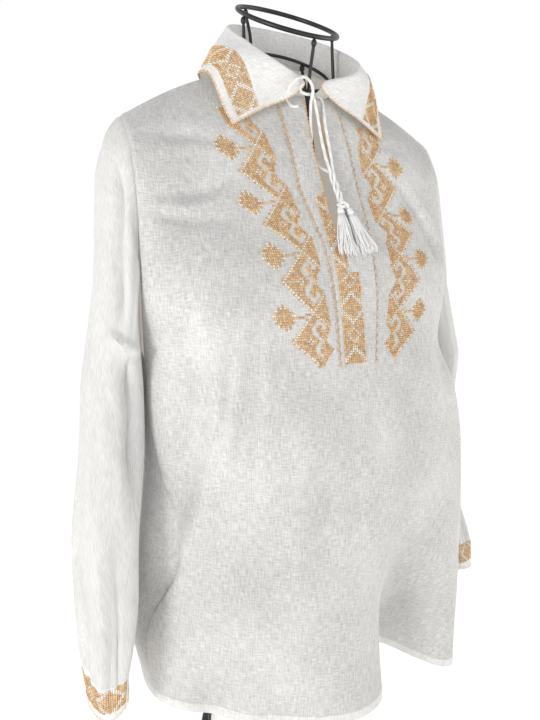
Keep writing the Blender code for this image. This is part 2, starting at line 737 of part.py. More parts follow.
def shoulder_way(sign):
    """Way points of a rib that carries the cloth along its shoulder seam."""
    way = [(sign * 0.0607, 0.007, 0.7800), (sign * 0.0655, 0.007, 0.7712)]
    for k in (0.12, 0.30, 0.50, 0.68):
        x, y, z = top_point(sign * (NECK_COLUMNS / MID + (1 - NECK_COLUMNS / MID) * k), False)
        way.append((x, y + 0.0004, z - 0.0050))
    way.append((sign * 0.177, 0.002, 0.7100))
    way.append((sign * 0.172, 0.004, 0.6600))
    return way


for name, source, top_a, way, hoop_a in RIBS:
    a = math.radians(hoop_a)
    off = 2 * WIRE + CLEAR
    bust, waist = (on_hoop(HOOPS[k], a, off) for k in ("form_hoop_bust", "form_hoop_waist"))
    foot_end = on_hoop(FOOT_RING, a, 0.0)
    foot_end.z = FOOT_BAR[1] + CLEAR
    if source == "ring":
        start = on_neck(math.radians(top_a), NECK_WIRE + CLEAR + 0.0018)
    else:
        start = under_base(math.radians(top_a), WIRE + CLEAR + 0.0012)
    if way == "shoulder":
        way = shoulder_way(math.copysign(1, top_a))
    keys = [start] + [Vector(w) for w in way] + [bust, waist, foot_end]
    steps = [3 if len(way) < 4 else 2] * len(way) + [4, 5, 6]
    tube("form_rib_" + name, through([tuple(k) for k in keys], steps), WIRE)


# Neck tie
# Three cord strands come from the neck edge, twist together over the
# placket and end above two tassel heads.
CORD = 0.0015             # radius of the tie's cord
LAID = 0.00212            # radius of the twist of the three strands
STRAND_RIGHT = (
    (-0.0173, -0.0337, 0.7438), (-0.0259, -0.0330, 0.7436), (-0.0304, -0.0300, 0.7491),
    (-0.0335, -0.0375, 0.7560), (-0.0362, -0.0480, 0.7623), (-0.0283, -0.0490, 0.7690),
    (-0.0183, -0.0465, 0.7720), (-0.0087, -0.0440, 0.7686), (-0.0034, -0.0415, 0.7605),
    (-0.0033, -0.0380, 0.7498), (-0.0040, -0.0385, 0.7352), (-0.0068, -0.0430, 0.7178),
    (-0.0081, -0.0462, 0.7028), (-0.0076, -0.0515, 0.6877), (-0.0030, -0.0570, 0.6790),
)
STRAND_MIDDLE = (
    (-0.0146, -0.0405, 0.7665), (-0.0191, -0.0405, 0.7639), (-0.0176, -0.0385, 0.7594),
    (-0.0094, -0.0370, 0.7575), (-0.0011, -0.0365, 0.7570), (0.0017, -0.0385, 0.7482),
    (0.0035, -0.0410, 0.7356), (0.0022, -0.0510, 0.7093), (0.0021, -0.0600, 0.6886),
)
STRAND_LEFT = (
    (0.0099, -0.0296, 0.7588), (0.0160, -0.0278, 0.7566), (0.0163, -0.0325, 0.7464),
    (0.0120, -0.0425, 0.7310), (0.0102, -0.0520, 0.7077), (0.0088, -0.0600, 0.6880),
)
TWIST = (
    (0.0062, -0.0646, 0.6753), (0.0057, -0.0718, 0.6623),
    (0.0065, -0.0773, 0.6517), (0.0076, -0.0815, 0.6422),
)
ON_PLACKET = (0.009, -0.915, 0.403)   # the way out of the cloth there
# start angle of each strand in the twist, and its last point
ENDS = {
    "right": (270.0, (0.0046, -0.0812, 0.6377)),
    "middle": (150.0, (0.0042, -0.0850, 0.6391)),
    "left": (30.0, (0.0158, -0.0836, 0.6380)),
}


cloth_under = []
for name in ("tunic_front", "placket", "collar", "form_rib_front"):
    cloth_under.append(BVHTree.FromObject(bpy.data.objects[name], bpy.context.evaluated_depsgraph_get()))


def clear_of(p, least):
    """Move a point until it is at least this far from all that is near."""
    p = Vector(p) - Vector((SHIFT[0], SHIFT[1], 0))
    for _ in range(4):
        for tree in cloth_under:
            hit, n, _, distance = tree.find_nearest(p, 0.01)
            if hit is None:
                continue
            away = (p - hit).normalized()
            if distance < CLOTH * 0.6 and away.dot(n) < 0:
                away, distance = away * -1, -distance
            if distance < least:
                p = hit + away * least
    return np.array(p + Vector((SHIFT[0], SHIFT[1], 0)))


def cord(name, route, angle, last):
    """A tie strand: its own route, then its turn of the twist."""
    way = [clear_of(p, CORD + 0.0013) for p in through(route, [3] * (len(route) - 1))]
    centre = [clear_of(p, LAID + CORD + 0.0006) for p in through(TWIST, (4, 4, 4))]
    out = unit(ON_PLACKET)
    for i, c in enumerate(centre):
        a = math.radians(angle + 360.0 * i / (len(centre) - 1))
        way.append(c + np.array([1.0, 0, 0]) * LAID * math.cos(a) + out * LAID * math.sin(a))
    way.append(np.array(last))
    curve = bpy.data.curves.new(name, "CURVE")
    curve.dimensions = "3D"
    spline = curve.splines.new("POLY")
    spline.points.add(len(way) - 1)
    for point, p in zip(spline.points, way):
        point.co = (p[0] - SHIFT[0], p[1] - SHIFT[1], p[2], 1.0)
    curve.bevel_depth = CORD
    curve.bevel_resolution = 2
    curve.use_fill_caps = True
    curve.materials.append(material("white_cord"))
    obj = bpy.data.objects.new(name, curve)
    bpy.context.scene.collection.objects.link(obj)
    return obj


cord("tie_right", STRAND_RIGHT, *ENDS["right"])
cord("tie_middle", STRAND_MIDDLE, *ENDS["middle"])
cord("tie_left", STRAND_LEFT, *ENDS["left"])

# Tassel head: distance from the top, half width, half depth.
HEAD = (
    (0.0000, 0.0024, 0.0020),
    (0.0014, 0.0039, 0.0029),
    (0.0040, 0.0040, 0.0030),
    (0.0056, 0.0032, 0.0025),
    (0.0072, 0.0037, 0.0028),
)
STRANDS = (5, 4)          # across and deep
STRAND_HALF = 0.00042
TASSELS = {
    # top of the head, tip of the skirt, half width at the tip
    "tassel_right": ((0.0044, -0.0836, 0.6366), (0.0001, -0.1050, 0.5885), 0.0062),
    "tassel_left": ((0.0158, -0.0842, 0.6360), (0.0288, -0.1046, 0.5906), 0.0066),
}


def tassel(name, top, tip, flare):
    """A wrapped head with its strands growing from the foot of it."""
    top, tip = np.array(top), np.array(tip)
    down = unit(tip - top)
    length = np.linalg.norm(tip - top)
    across = unit(np.cross(down, ON_PLACKET))
    out = unit(np.cross(across, down))
    nu, nv = STRANDS
    rim = [(i, 0) for i in range(nu)] + [(nu, j) for j in range(nv)]
    rim = rim + [(nu - i, nv) for i in range(nu)] + [(0, nv - j) for j in range(nv)]

    def spot(i, j, at, hu, hv):
        u, v = 2 * i / nu - 1, 2 * j / nv - 1
        u, v = u * math.sqrt(1 - v * v / 2), v * math.sqrt(1 - u * u / 2)
        return top + down * at + across * hu * u + out * hv * v

    verts, faces = [], []
    for at, hu, hv in HEAD:
        for i, j in rim:
            verts.append(spot(i, j, at, hu, hv))
    n = len(rim)
    for r in range(len(HEAD) - 1):
        for k in range(n):
            m = (k + 1) % n
            faces.append((r * n + k, r * n + m, (r + 1) * n + m, (r + 1) * n + k))
    faces.append(tuple(range(n)))
    at, hu, hv = HEAD[-1]
    base = {ij: (len(HEAD) - 1) * n + k for k, ij in enumerate(rim)}
    for i in range(1, nu):
        for j in range(1, nv):
            base[i, j] = len(verts)
            verts.append(spot(i, j, at, hu, hv))
    for i in range(nu):
        for j in range(nv):
            corners = [base[i, j], base[i + 1, j], base[i + 1, j + 1], base[i, j + 1]]
            root = sum(verts[c] for c in corners) / 4
            u, v = (i + 0.5) / nu * 2 - 1, (j + 0.5) / nv * 2 - 1
            wave = math.sin(2.3 * i + 1.7 * j)
            end = top + down * length * (1 + 0.05 * wave) + across * flare * u + out * (0.0026 * v)
            end = end + across * 0.0004 * math.sin(5.1 * i + 2.9 * j)
            ring = corners
            for t in (0.0, 0.35, 0.7, 1.0):
                c = root * (1 - t) + end * t + across * flare * u * 0.35 * math.sin(math.pi * t)
                wide = STRAND_HALF * (1.0 - 0.25 * t)
                first = len(verts)
                for corner, su, sv in zip(corners, (-1, 1, 1, -1), (-1, -1, 1, 1)):
                    if t == 0.0:
                        verts.append(root + (verts[corner] - root) * 0.6)
                    else:
                        verts.append(c + across * wide * su + out * wide * sv)
                new = [first, first + 1, first + 2, first + 3]
                for e in range(4):
                    g = (e + 1) % 4
                    faces.append((ring[e], ring[g], new[g], new[e]))
                ring = new
            faces.append(tuple(ring))
    return add_mesh(name, verts, faces, "white_cord")


for name, (top, tip, flare) in TASSELS.items():
    tassel(name, top, tip, flare)
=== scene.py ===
# %% [markdown]
# An embroidered gauze tunic on a wire dress form. The frame holds the pieces at
# their real size and place; this lesson gives each one its finish. Cloth is built
# as a thin shell on the same rings as the frame's walls, sampled finer, and the
# embroidery is real thread laid stitch by stitch on that cloth.

# %% Load the frame
import json
import math
import bpy
import numpy as np
from mathutils import Matrix, Vector, noise
from mathutils.bvhtree import BVHTree

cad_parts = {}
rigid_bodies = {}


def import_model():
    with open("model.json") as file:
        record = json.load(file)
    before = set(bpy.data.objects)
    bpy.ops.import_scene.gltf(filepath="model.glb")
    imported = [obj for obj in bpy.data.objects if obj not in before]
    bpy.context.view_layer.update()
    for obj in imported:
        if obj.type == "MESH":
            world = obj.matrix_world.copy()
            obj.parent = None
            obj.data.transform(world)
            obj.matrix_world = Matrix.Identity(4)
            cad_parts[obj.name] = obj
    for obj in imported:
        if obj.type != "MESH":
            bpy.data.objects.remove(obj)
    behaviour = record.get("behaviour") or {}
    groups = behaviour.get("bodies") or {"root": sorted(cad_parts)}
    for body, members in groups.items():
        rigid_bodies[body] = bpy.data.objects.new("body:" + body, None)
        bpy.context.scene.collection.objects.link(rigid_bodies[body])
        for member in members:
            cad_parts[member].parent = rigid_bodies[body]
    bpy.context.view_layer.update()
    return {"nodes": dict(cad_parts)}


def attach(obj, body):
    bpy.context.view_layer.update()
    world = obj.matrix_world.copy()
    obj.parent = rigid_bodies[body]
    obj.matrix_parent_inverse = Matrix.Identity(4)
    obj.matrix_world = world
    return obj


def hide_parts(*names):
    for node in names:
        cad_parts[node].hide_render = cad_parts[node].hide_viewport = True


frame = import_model()
nodes = frame["nodes"]
graph = bpy.context.evaluated_depsgraph_get()
TREES = {}                # the frame's own walls, to rest cords and the collar on
for name in ("tunic_front", "tunic_back", "placket", "collar", "form_rib_front"):
    TREES[name] = BVHTree.FromObject(nodes[name], graph)
print("pieces in the frame:", len(nodes))

# %% [markdown]
# The camera stands a little above the chest and looks slightly down, turned
# towards the wearer's left. Its lens is worked out from the photograph's frame.
# The background of the picture is plain white, so an even white world lights the
# cloth from all round. A warmer key lamp low at the near side and a wider, weaker
# fill lamp at the far side give the folds their shade.

# %% Camera
EYE = (-0.4722, -0.6590, 0.6020)
YAW, PITCH, ROLL = 32.3, 9.83, 0.47      # degrees
FOCAL_PIXELS = 690.0
FRAME_HIGH = 720.0
yaw, pitch, roll = (math.radians(a) for a in (YAW, PITCH, ROLL))
ahead = Vector((math.sin(yaw) * math.cos(pitch), math.cos(yaw) * math.cos(pitch), -math.sin(pitch)))
level = Vector((math.cos(yaw), -math.sin(yaw), 0.0))
upright = level.cross(ahead)
right_way = level * math.cos(roll) + upright * math.sin(roll)
up_way = upright * math.cos(roll) - level * math.sin(roll)
camera_data = bpy.data.cameras.new("camera")
camera_data.sensor_width = 24.0
camera_data.lens = FOCAL_PIXELS * camera_data.sensor_width / FRAME_HIGH
camera_data.clip_start = 0.01
camera = bpy.data.objects.new("camera", camera_data)
bpy.context.scene.collection.objects.link(camera)
turn = Matrix((right_way, up_way, -ahead)).transposed()
camera.matrix_world = Matrix.Translation(EYE) @ turn.to_4x4()
bpy.context.scene.camera = camera
print("lens", round(camera_data.lens, 2), "mm")

# %% Light and floor
scene = bpy.context.scene
scene.view_settings.view_transform = "Standard"
world = bpy.data.worlds.new("white_room")
world.use_nodes = True
scene.world = world
sky = world.node_tree
sky_place = sky.nodes.new("ShaderNodeTexCoord")
sky_parts = sky.nodes.new("ShaderNodeSeparateXYZ")
sky_ramp = sky.nodes.new("ShaderNodeValToRGB")
sky_ramp.color_ramp.elements[0].position = 0.36
sky_ramp.color_ramp.elements[0].color = (1, 1, 1, 1)
sky_ramp.color_ramp.elements[1].position = 0.85
sky_ramp.color_ramp.elements[1].color = (0.30, 0.30, 0.31, 1)
sky.links.new(sky_place.outputs["Generated"], sky_parts.inputs["Vector"])
sky.links.new(sky_parts.outputs["Z"], sky_ramp.inputs["Fac"])
sky.links.new(sky_ramp.outputs["Color"], sky.nodes["Background"].inputs["Color"])


def lamp(name, place, aim, size, power, colour):
    data = bpy.data.lights.new(name, "AREA")
    data.size = size
    data.energy = power
    data.color = colour
    obj = bpy.data.objects.new(name, data)
    scene.collection.objects.link(obj)
    obj.location = place
    obj.rotation_mode = "QUATERNION"
    obj.rotation_quaternion = (Vector(aim) - Vector(place)).to_track_quat("-Z", "Y")


lamp("key", (-2.0, -0.8, 0.70), (0, 0, 0.42), 0.6, 17.0, (1.0, 0.99, 0.97))
lamp("fill", (1.9, -1.0, 0.55), (0, 0, 0.45), 1.2, 11.0, (1.0, 0.92, 0.84))

bpy.ops.object.select_all(action="DESELECT")
bpy.ops.mesh.primitive_plane_add(size=24.0, location=(0, 0, -0.0002))
floor = bpy.context.object
floor.name = "floor"
paper = bpy.data.materials.new("paper")
paper.use_nodes = True
shader = paper.node_tree.nodes["Principled BSDF"]
shader.inputs["Base Color"].default_value = (0.93, 0.93, 0.93, 1)
shader.inputs["Roughness"].default_value = 0.9
shader.inputs["Specular IOR Level"].default_value = 0.0
shader.inputs["Emission Color"].default_value = (1, 1, 1, 1)
shader.inputs["Emission Strength"].default_value = 0.50
floor.data.materials.append(paper)

# %% [markdown]
# Gauze is a loose plain weave of uneven cotton yarn. What the eye sees is not the
# single thread but its slubs: thick places that run a centimetre or two along the
# yarn, in both directions. Two stretched noises on the cloth's own UV map, which
# is in metres along the threads, give them, with a fine grain between and a slow
# drift of tone over all.

# %% Shader helpers
def new_material(name, rough, sheen=0.0):
    mat = bpy.data.materials.new(name)
    mat.use_nodes = True
    shader = mat.node_tree.nodes["Principled BSDF"]
    shader.inputs["Roughness"].default_value = rough
    shader.inputs["Sheen Weight"].default_value = sheen
    return mat, mat.node_tree, shader


def noise_node(tree, vector, scale, detail=2.0):
    node = tree.nodes.new("ShaderNodeTexNoise")
    node.inputs["Scale"].default_value = scale
    node.inputs["Detail"].default_value = detail
    tree.links.new(vector, node.inputs["Vector"])
    return node.outputs["Fac"]


def stretched(tree, source, scale):
    node = tree.nodes.new("ShaderNodeMapping")
    node.inputs["Scale"].default_value = scale
    tree.links.new(source, node.inputs["Vector"])
    return node.outputs["Vector"]


def scaled(tree, source, share):
    node = tree.nodes.new("ShaderNodeMath")
    node.operation = "MULTIPLY"
    tree.links.new(source, node.inputs[0])
    node.inputs[1].default_value = share
    return node.outputs["Value"]


def mixed(tree, a, share_a, b, share_b):
    """The sum of two greys, each times its share."""
    node = tree.nodes.new("ShaderNodeMath")
    node.operation = "ADD"
    tree.links.new(scaled(tree, a, share_a), node.inputs[0])
    tree.links.new(scaled(tree, b, share_b), node.inputs[1])
    return node.outputs["Value"]


def ramp_node(tree, factor, stops):
    node = tree.nodes.new("ShaderNodeValToRGB")
    ramp = node.color_ramp
    while len(ramp.elements) < len(stops):
        ramp.elements.new(0.5)
    for element, (at, colour) in zip(ramp.elements, stops):
        element.position = at
        element.color = (*colour, 1)
    tree.links.new(factor, node.inputs["Fac"])
    return node.outputs["Color"]


def bump_node(tree, shader, height, depth, strength=1.0):
    node = tree.nodes.new("ShaderNodeBump")
    node.inputs["Distance"].default_value = depth
    node.inputs["Strength"].default_value = strength
    tree.links.new(height, node.inputs["Height"])
    tree.links.new(node.outputs["Normal"], shader.inputs["Normal"])

# %% Gauze
def gauze(name, dark, light):
    mat, tree, shader = new_material(name, 0.85, 0.25)
    shader.inputs["Specular IOR Level"].default_value = 0.2
    uv = tree.nodes.new("ShaderNodeUVMap")
    uv.uv_map = "weave"
    source = uv.outputs["UV"]
    weft = noise_node(tree, stretched(tree, source, (110, 840, 1)), 1.0, 3.0)
    warp = noise_node(tree, stretched(tree, source, (860, 84, 1)), 1.0, 3.0)
    grain = noise_node(tree, stretched(tree, source, (1700, 1700, 1)), 1.0, 1.0)
    cloud = noise_node(tree, stretched(tree, source, (9, 9, 1)), 1.0, 3.0)
    yarn = mixed(tree, weft, 0.5, warp, 0.5)
    weave = mixed(tree, yarn, 0.82, grain, 0.18)
    tone = mixed(tree, weave, 0.75, cloud, 0.25)
    colour = ramp_node(tree, tone, ((0.39, dark), (0.61, light)))
    tree.links.new(colour, shader.inputs["Base Color"])
    bump_node(tree, shader, weave, 0.0011, 0.8)
    return mat


GAUZE = gauze("gauze_white", (0.42, 0.415, 0.405), (0.76, 0.755, 0.74))
# The sleeves get a lighter copy of the same gauze: painted light, for the brighter light the sleeves catch.
GAUZE_SLEEVE_PAINTED_LIGHT = gauze("gauze_sleeve", (0.535, 0.53, 0.517), (0.78, 0.775, 0.76))
GAUZE_DOUBLE = gauze("gauze_double", (0.60, 0.595, 0.58), (0.88, 0.875, 0.86))
# The inner skin's finish is darker and warmer than the outer one: painted shade for the shadowed inside of
# the tunic.
GAUZE_INSIDE_SHADE_GLOW = gauze("gauze_inside_painted_shade_glow", (0.46, 0.44, 0.41), (0.66, 0.63, 0.59))
# Painted light: a faint warm emission makes the inner face glow, standing in for daylight that comes through
# the thin gauze.
inside_glow_shader = GAUZE_INSIDE_SHADE_GLOW.node_tree.nodes["Principled BSDF"]
inside_glow_shader.inputs["Emission Color"].default_value = (1.0, 0.95, 0.88, 1)
inside_glow_shader.inputs["Emission Strength"].default_value = 0.20

# %% Yarn
def thread(name, dark, light, rough=0.55):
    """Embroidery yarn: each stitch has its own tone, with fine twist lines."""
    mat, tree, shader = new_material(name, rough, 0.3)
    tone = tree.nodes.new("ShaderNodeAttribute")
    tone.attribute_name = "tone"
    place = tree.nodes.new("ShaderNodeTexCoord")
    fuzz = noise_node(tree, stretched(tree, place.outputs["Object"], (900, 900, 2200)), 1.0, 2.0)
    grey = mixed(tree, tone.outputs["Fac"], 0.65, fuzz, 0.35)
    tree.links.new(ramp_node(tree, grey, ((0.15, dark), (0.85, light))), shader.inputs["Base Color"])
    bump_node(tree, shader, fuzz, 0.0003, 0.7)
    return mat


TAN = thread("thread_tan", (0.54, 0.29, 0.105), (0.98, 0.69, 0.36))
PALE = thread("thread_pale", (0.78, 0.70, 0.58), (0.97, 0.93, 0.86))
CORD_WHITE = thread("cord_white", (0.70, 0.70, 0.69), (0.95, 0.95, 0.94), 0.75)

# %% Black wire
def satin_black():
    mat, tree, shader = new_material("wire_black", 0.34)
    place = tree.nodes.new("ShaderNodeTexCoord")
    speck = noise_node(tree, place.outputs["Object"], 420.0, 3.0)
    worn = noise_node(tree, place.outputs["Object"], 35.0, 4.0)
    tone = mixed(tree, speck, 0.4, worn, 0.6)
    colour = ramp_node(tree, tone, ((0.42, (0.006, 0.006, 0.007)), (0.75, (0.035, 0.034, 0.034))))
    tree.links.new(colour, shader.inputs["Base Color"])
    bump_node(tree, shader, speck, 0.0002, 0.4)
    return mat


WIRE_BLACK = satin_black()
print("finishes:", len(bpy.data.materials))

# %% [markdown]
# The neck tie comes first, because it has to hang where the frame's cord lies.
# Three strands leave the neck edge, twist together over the placket and end at a
# knot above two tassels. Each strand is a soft cord of three plies, so its mesh is
# three thin tubes wound round one line.

# %% Routes of the tie
CORD_RADIUS = 0.0015
TWIST_RADIUS = 0.00212
COVER = 0.0013            # the drawn cloth stands this far over the frame's walls
WALL_INSIDE = 0.00084     # a point nearer than this may be inside a wall
SHIFT = np.array([0.0152, -0.0180, 0.0])     # plan position of the part's middle
# points x, y, z in tenths of a millimetre, from the collar to the twist
ROUTES = {
    "right": ((-173, -337, 7438), (-259, -330, 7436), (-304, -300, 7491), (-335, -375, 7560),
              (-362, -480, 7623), (-283, -490, 7690), (-183, -465, 7720), (-87, -440, 7686),
              (-34, -415, 7605), (-33, -380, 7498), (-40, -385, 7352), (-68, -430, 7178),
              (-81, -462, 7028), (-76, -515, 6877), (-30, -570, 6790)),
    "middle": ((-146, -405, 7665), (-191, -405, 7639), (-176, -385, 7594), (-94, -370, 7575),
               (-11, -365, 7570), (17, -385, 7482), (35, -410, 7356), (22, -510, 7093),
               (21, -600, 6886)),
    "left": ((99, -296, 7588), (160, -278, 7566), (163, -325, 7464), (120, -425, 7310),
             (102, -520, 7077), (88, -600, 6880)),
}
TWIST_KEYS = ((0.0062, -0.0646, 0.6753), (0.0057, -0.0718, 0.6623),
              (0.0065, -0.0773, 0.6517), (0.0076, -0.0815, 0.6422))
OFF_PLACKET = (0.009, -0.915, 0.403)         # the way out of the cloth there
# start angle of each strand in the twist, and its last point
CORD_ENDS = {
    "right": (270.0, (0.0046, -0.0812, 0.6377)),
    "middle": (150.0, (0.0042, -0.0850, 0.6391)),
    "left": (30.0, (0.0158, -0.0836, 0.6380)),
}
print("strands of the tie:", len(ROUTES))

# %% Lines
def unit(v):
    v = np.asarray(v, float)
    return v / np.maximum(np.linalg.norm(v, axis=-1, keepdims=True), 1e-12)


def glide(keys, w):
    """A smooth row through key rows; w counts the rows from 0."""
    keys = np.asarray(keys, float)
    k = np.concatenate([[2 * keys[0] - keys[1]], keys, [2 * keys[-1] - keys[-2]]])
    i = min(int(w), len(keys) - 2)
    u = w - i
    a, b, c, d = k[i:i + 4]
    return 0.5 * (2 * b + (c - a) * u + (2 * a - 5 * b + 4 * c - d) * u ** 2
                  + (3 * b - a - 3 * c + d) * u ** 3)


def clear_of(p, least):
    """Move a point until it is at least this far from all that is near."""
    p = Vector(np.asarray(p) - SHIFT)
    for _ in range(4):
        for name in ("tunic_front", "placket", "collar", "form_rib_front"):
            hit, n, _, distance = TREES[name].find_nearest(p, 0.01)
            if hit is None:
                continue
            away = (p - hit).normalized()
            if distance < WALL_INSIDE and away.dot(n) < 0:
                away, distance = away * -1, -distance
            if distance < least:
                p = hit + away * least
    return np.array(p) + SHIFT


def cord_way(side):
    route = np.array(ROUTES[side]) / 10000
    angle, last = CORD_ENDS[side]
    steps = 3 * (len(route) - 1)
    way = [clear_of(glide(route, k / 3), CORD_RADIUS + COVER) for k in range(steps + 1)]
    out = unit(OFF_PLACKET)
    for k in range(13):
        a = math.radians(angle + 30.0 * k)
        centre = clear_of(glide(TWIST_KEYS, k / 4), TWIST_RADIUS + CORD_RADIUS + 0.0006)
        way.append(centre + np.array([1.0, 0, 0]) * TWIST_RADIUS * math.cos(a)
                   + out * TWIST_RADIUS * math.sin(a))
    way.append(np.array(last))
    return np.array(way) - SHIFT


def run_of(line):
    """Running length at each point of a line."""
    return np.concatenate([[0], np.cumsum(np.linalg.norm(np.diff(line, axis=0), axis=1))])


def spot(at, run, line):
    """The values of a line's rows at one running length."""
    return np.array([np.interp(at, run, line[:, i]) for i in range(3)])


def even_line(way, gap):
    fine = np.array([glide(way, w) for w in np.linspace(0, len(way) - 1, 12 * len(way))])
    run = run_of(fine)
    at = np.linspace(0, run[-1], max(4, int(run[-1] / gap)))
    return np.array([spot(a, run, fine) for a in at]), run[-1]

# %% Tubes along a line
def tube_rings(line, radius, sides):
    """Rings of points round a line, carried along it without twisting."""
    way = unit(np.gradient(line, axis=0))
    side = np.cross(way[0], (0.0, 0.0, 1.0))
    side = side if np.linalg.norm(side) > 0.1 else np.cross(way[0], (1.0, 0.0, 0.0))
    radius = np.broadcast_to(radius, len(line))
    rings = []
    for p, d, r in zip(line, way, radius):
        side = unit(side - d * np.dot(side, d))
        top = np.cross(side, d)
        turns = 2 * math.pi * np.arange(sides) / sides
        rings.append(p + (np.outer(np.cos(turns), side) + np.outer(np.sin(turns), top)) * r)
    return np.array(rings)


def add_tube(verts, faces, rings):
    """Join rings into a closed tube; the caps are round because the end rings are small."""
    first, (count, sides) = len(verts), rings.shape[:2]
    verts += rings.reshape(-1, 3).tolist()
    for r in range(count - 1):
        for k in range(sides):
            m = (k + 1) % sides
            faces.append((first + r * sides + m, first + r * sides + k,
                          first + (r + 1) * sides + k, first + (r + 1) * sides + m))
    faces.append(tuple(first + k for k in range(sides)))
    faces.append(tuple(first + (count - 1) * sides + k for k in reversed(range(sides))))


def thread_piece(name, verts, faces, tone, finishes=(CORD_WHITE,), index=None, slot="white_cord"):
    """A piece of yarn: tone is by point; index says which finish a face has."""
    mesh = bpy.data.meshes.new(name)
    mesh.from_pydata(verts, [], faces)
    for finish in finishes:
        mesh.materials.append(finish)
    if index is not None:
        mesh.polygons.foreach_set("material_index", index)
    mesh.attributes.new("tone", "FLOAT", "POINT").data.foreach_set("value", tone)
    mesh.shade_smooth()
    obj = bpy.data.objects.new(name, mesh)
    scene.collection.objects.link(obj)
    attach(obj, "root")
    return obj


def plied(line, turn_pitch=0.0066, plies=3, ply=0.00092, sides=6):
    """Plies wound round a line, with their tones."""
    verts, faces, tone = [], [], []
    core = tube_rings(line, ply, 12)
    run = run_of(line)
    for k in range(plies):
        turns = run / turn_pitch * 12 + 12 * k / plies
        low = np.floor(turns).astype(int)
        part = (turns - low)[:, None]
        index = np.arange(len(line))
        wound = core[index, low % 12] * (1 - part) + core[index, (low + 1) % 12] * part
        swell = 1 + 0.06 * np.sin(run * 900 + k)
        end = np.minimum(1, np.minimum(run, run[-1] - run) / 0.0007 * 0.6 + 0.4)
        rings = tube_rings(wound, ply * swell * end, sides)
        add_tube(verts, faces, rings)
        tone += list(np.repeat(0.55 + 0.3 * np.sin(run * 500 + 2 * k), sides))
    return verts, faces, tone


ties, cord_lines = {}, {}
for side in ("right", "middle", "left"):
    cord_lines[side] = even_line(cord_way(side), 0.00078)
    ties[side] = thread_piece("cord_" + side, *plied(cord_lines[side][0]))
    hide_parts("tie_" + side)

# %% [markdown]
# A tassel has a knotted cord at the top, a head bound with turns of thread, and a
# loose skirt. The skirt is a hundred and ten soft strands, each with its own
# length and wave, so it spreads and opens as cotton does after wear.

# %% Tassels
TASSELS = {
    # top of the head, tip of the skirt, half width at the tip
    "right": ((0.0044, -0.0836, 0.6366), (0.0008, -0.1052, 0.5885), 0.0098),
    "left": ((0.0158, -0.0842, 0.6360), (0.0272, -0.1046, 0.5900), 0.0108),
}
# distance down from the top, half width there
TASSEL_HEAD = ((-0.0010, 0.0014), (0.0002, 0.0030), (0.0018, 0.0040), (0.0044, 0.0040), (0.0060, 0.0032),
               (0.0074, 0.0037), (0.0086, 0.0032))
HEAD_SIDES, BINDING_STEPS = 14, 95
SKIRT_START = 0.0066                           # the strands leave the head here
SPIRAL = 2.39996                               # radians from one strand to the next
STRANDS, STRAND_STEPS, STRAND_SIDES = 110, 10, 4
STRAND_THICK = 0.00072 * np.array([0.8, 1, 1.05, 1, 1.05, 1, 1.05, 1.1, 1.0, 0.4])
HEAD_WIDE, HEAD_DEEP = 0.94, 0.72              # the head is a little flat
cut = np.random.default_rng(7)
for side, (top, tip, flare) in TASSELS.items():
    top, tip = np.array(top) - SHIFT, np.array(tip) - SHIFT
    down = unit(tip - top)
    long = float(np.linalg.norm(tip - top))
    across = unit(np.cross(down, OFF_PLACKET))
    out = unit(np.cross(across, down))
    verts, faces, tone = [], [], []
    turns = 2 * math.pi * np.arange(HEAD_SIDES) / HEAD_SIDES
    rings = []
    for at, wide in TASSEL_HEAD:
        rings.append(top + down * at + np.outer(np.cos(turns), across) * wide * HEAD_WIDE
                     + np.outer(np.sin(turns), out) * wide * HEAD_DEEP)
    add_tube(verts, faces, np.array(rings))
    tone += [0.5] * (HEAD_SIDES * len(rings))
    wound = []
    for k in range(BINDING_STEPS):
        a = 2 * math.pi * k / 15
        at = 0.0046 + 0.0019 * k / BINDING_STEPS
        wide = np.interp(at, [h for h, _ in TASSEL_HEAD], [w for _, w in TASSEL_HEAD]) + 0.0003
        wound.append(top + down * at + across * wide * HEAD_WIDE * math.cos(a)
                     + out * wide * 0.76 * math.sin(a))
    rings = tube_rings(np.array(wound), 0.00038, 5)
    add_tube(verts, faces, rings)
    tone += [0.8] * (5 * len(wound))
    for k in range(STRANDS):
        turn, reach = k * SPIRAL, math.sqrt((k + 0.5) / STRANDS)     # even over a disc
        u, v = math.cos(turn) * reach, math.sin(turn) * reach
        start = top + down * SKIRT_START + across * 0.0031 * u + out * 0.0023 * v
        size = long * cut.uniform(0.90, 1.05) - SKIRT_START
        wave = cut.uniform(0, 6.28, 2)
        bend = cut.normal(0, 0.0016, 2)
        line = []
        for t in np.linspace(0, 1, STRAND_STEPS):
            spread = flare * (0.45 * t ** 0.4 + 0.55 * t * t) * 0.95
            p = start + down * size * t + across * (u * (spread + 0.0002)) + out * v * 0.0034 * t ** 0.7
            p = p + across * (0.0015 * t ** 0.6 * math.sin(5 * t + wave[0]) + bend[0] * t * t)
            p = p + out * (0.0010 * t ** 0.6 * math.sin(6 * t + wave[1]) + abs(bend[1]) * 0.6 * t * t)
            line.append(p)
        add_tube(verts, faces, tube_rings(np.array(line), STRAND_THICK, STRAND_SIDES))
        tone += [float(cut.uniform(0.55, 1.0))] * (STRAND_STEPS * STRAND_SIDES)
    piece = thread_piece("tie_tassel_" + side, verts, faces, tone)
    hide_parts("tassel_" + side)
    print("tassel", side, "triangles", sum(len(f) - 2 for f in faces))

# %% [markdown]
# The strands meet in a small tight knot over the tassels. It is the same cord
# wound twice round the bundle and tucked through, so it bulges on all sides.

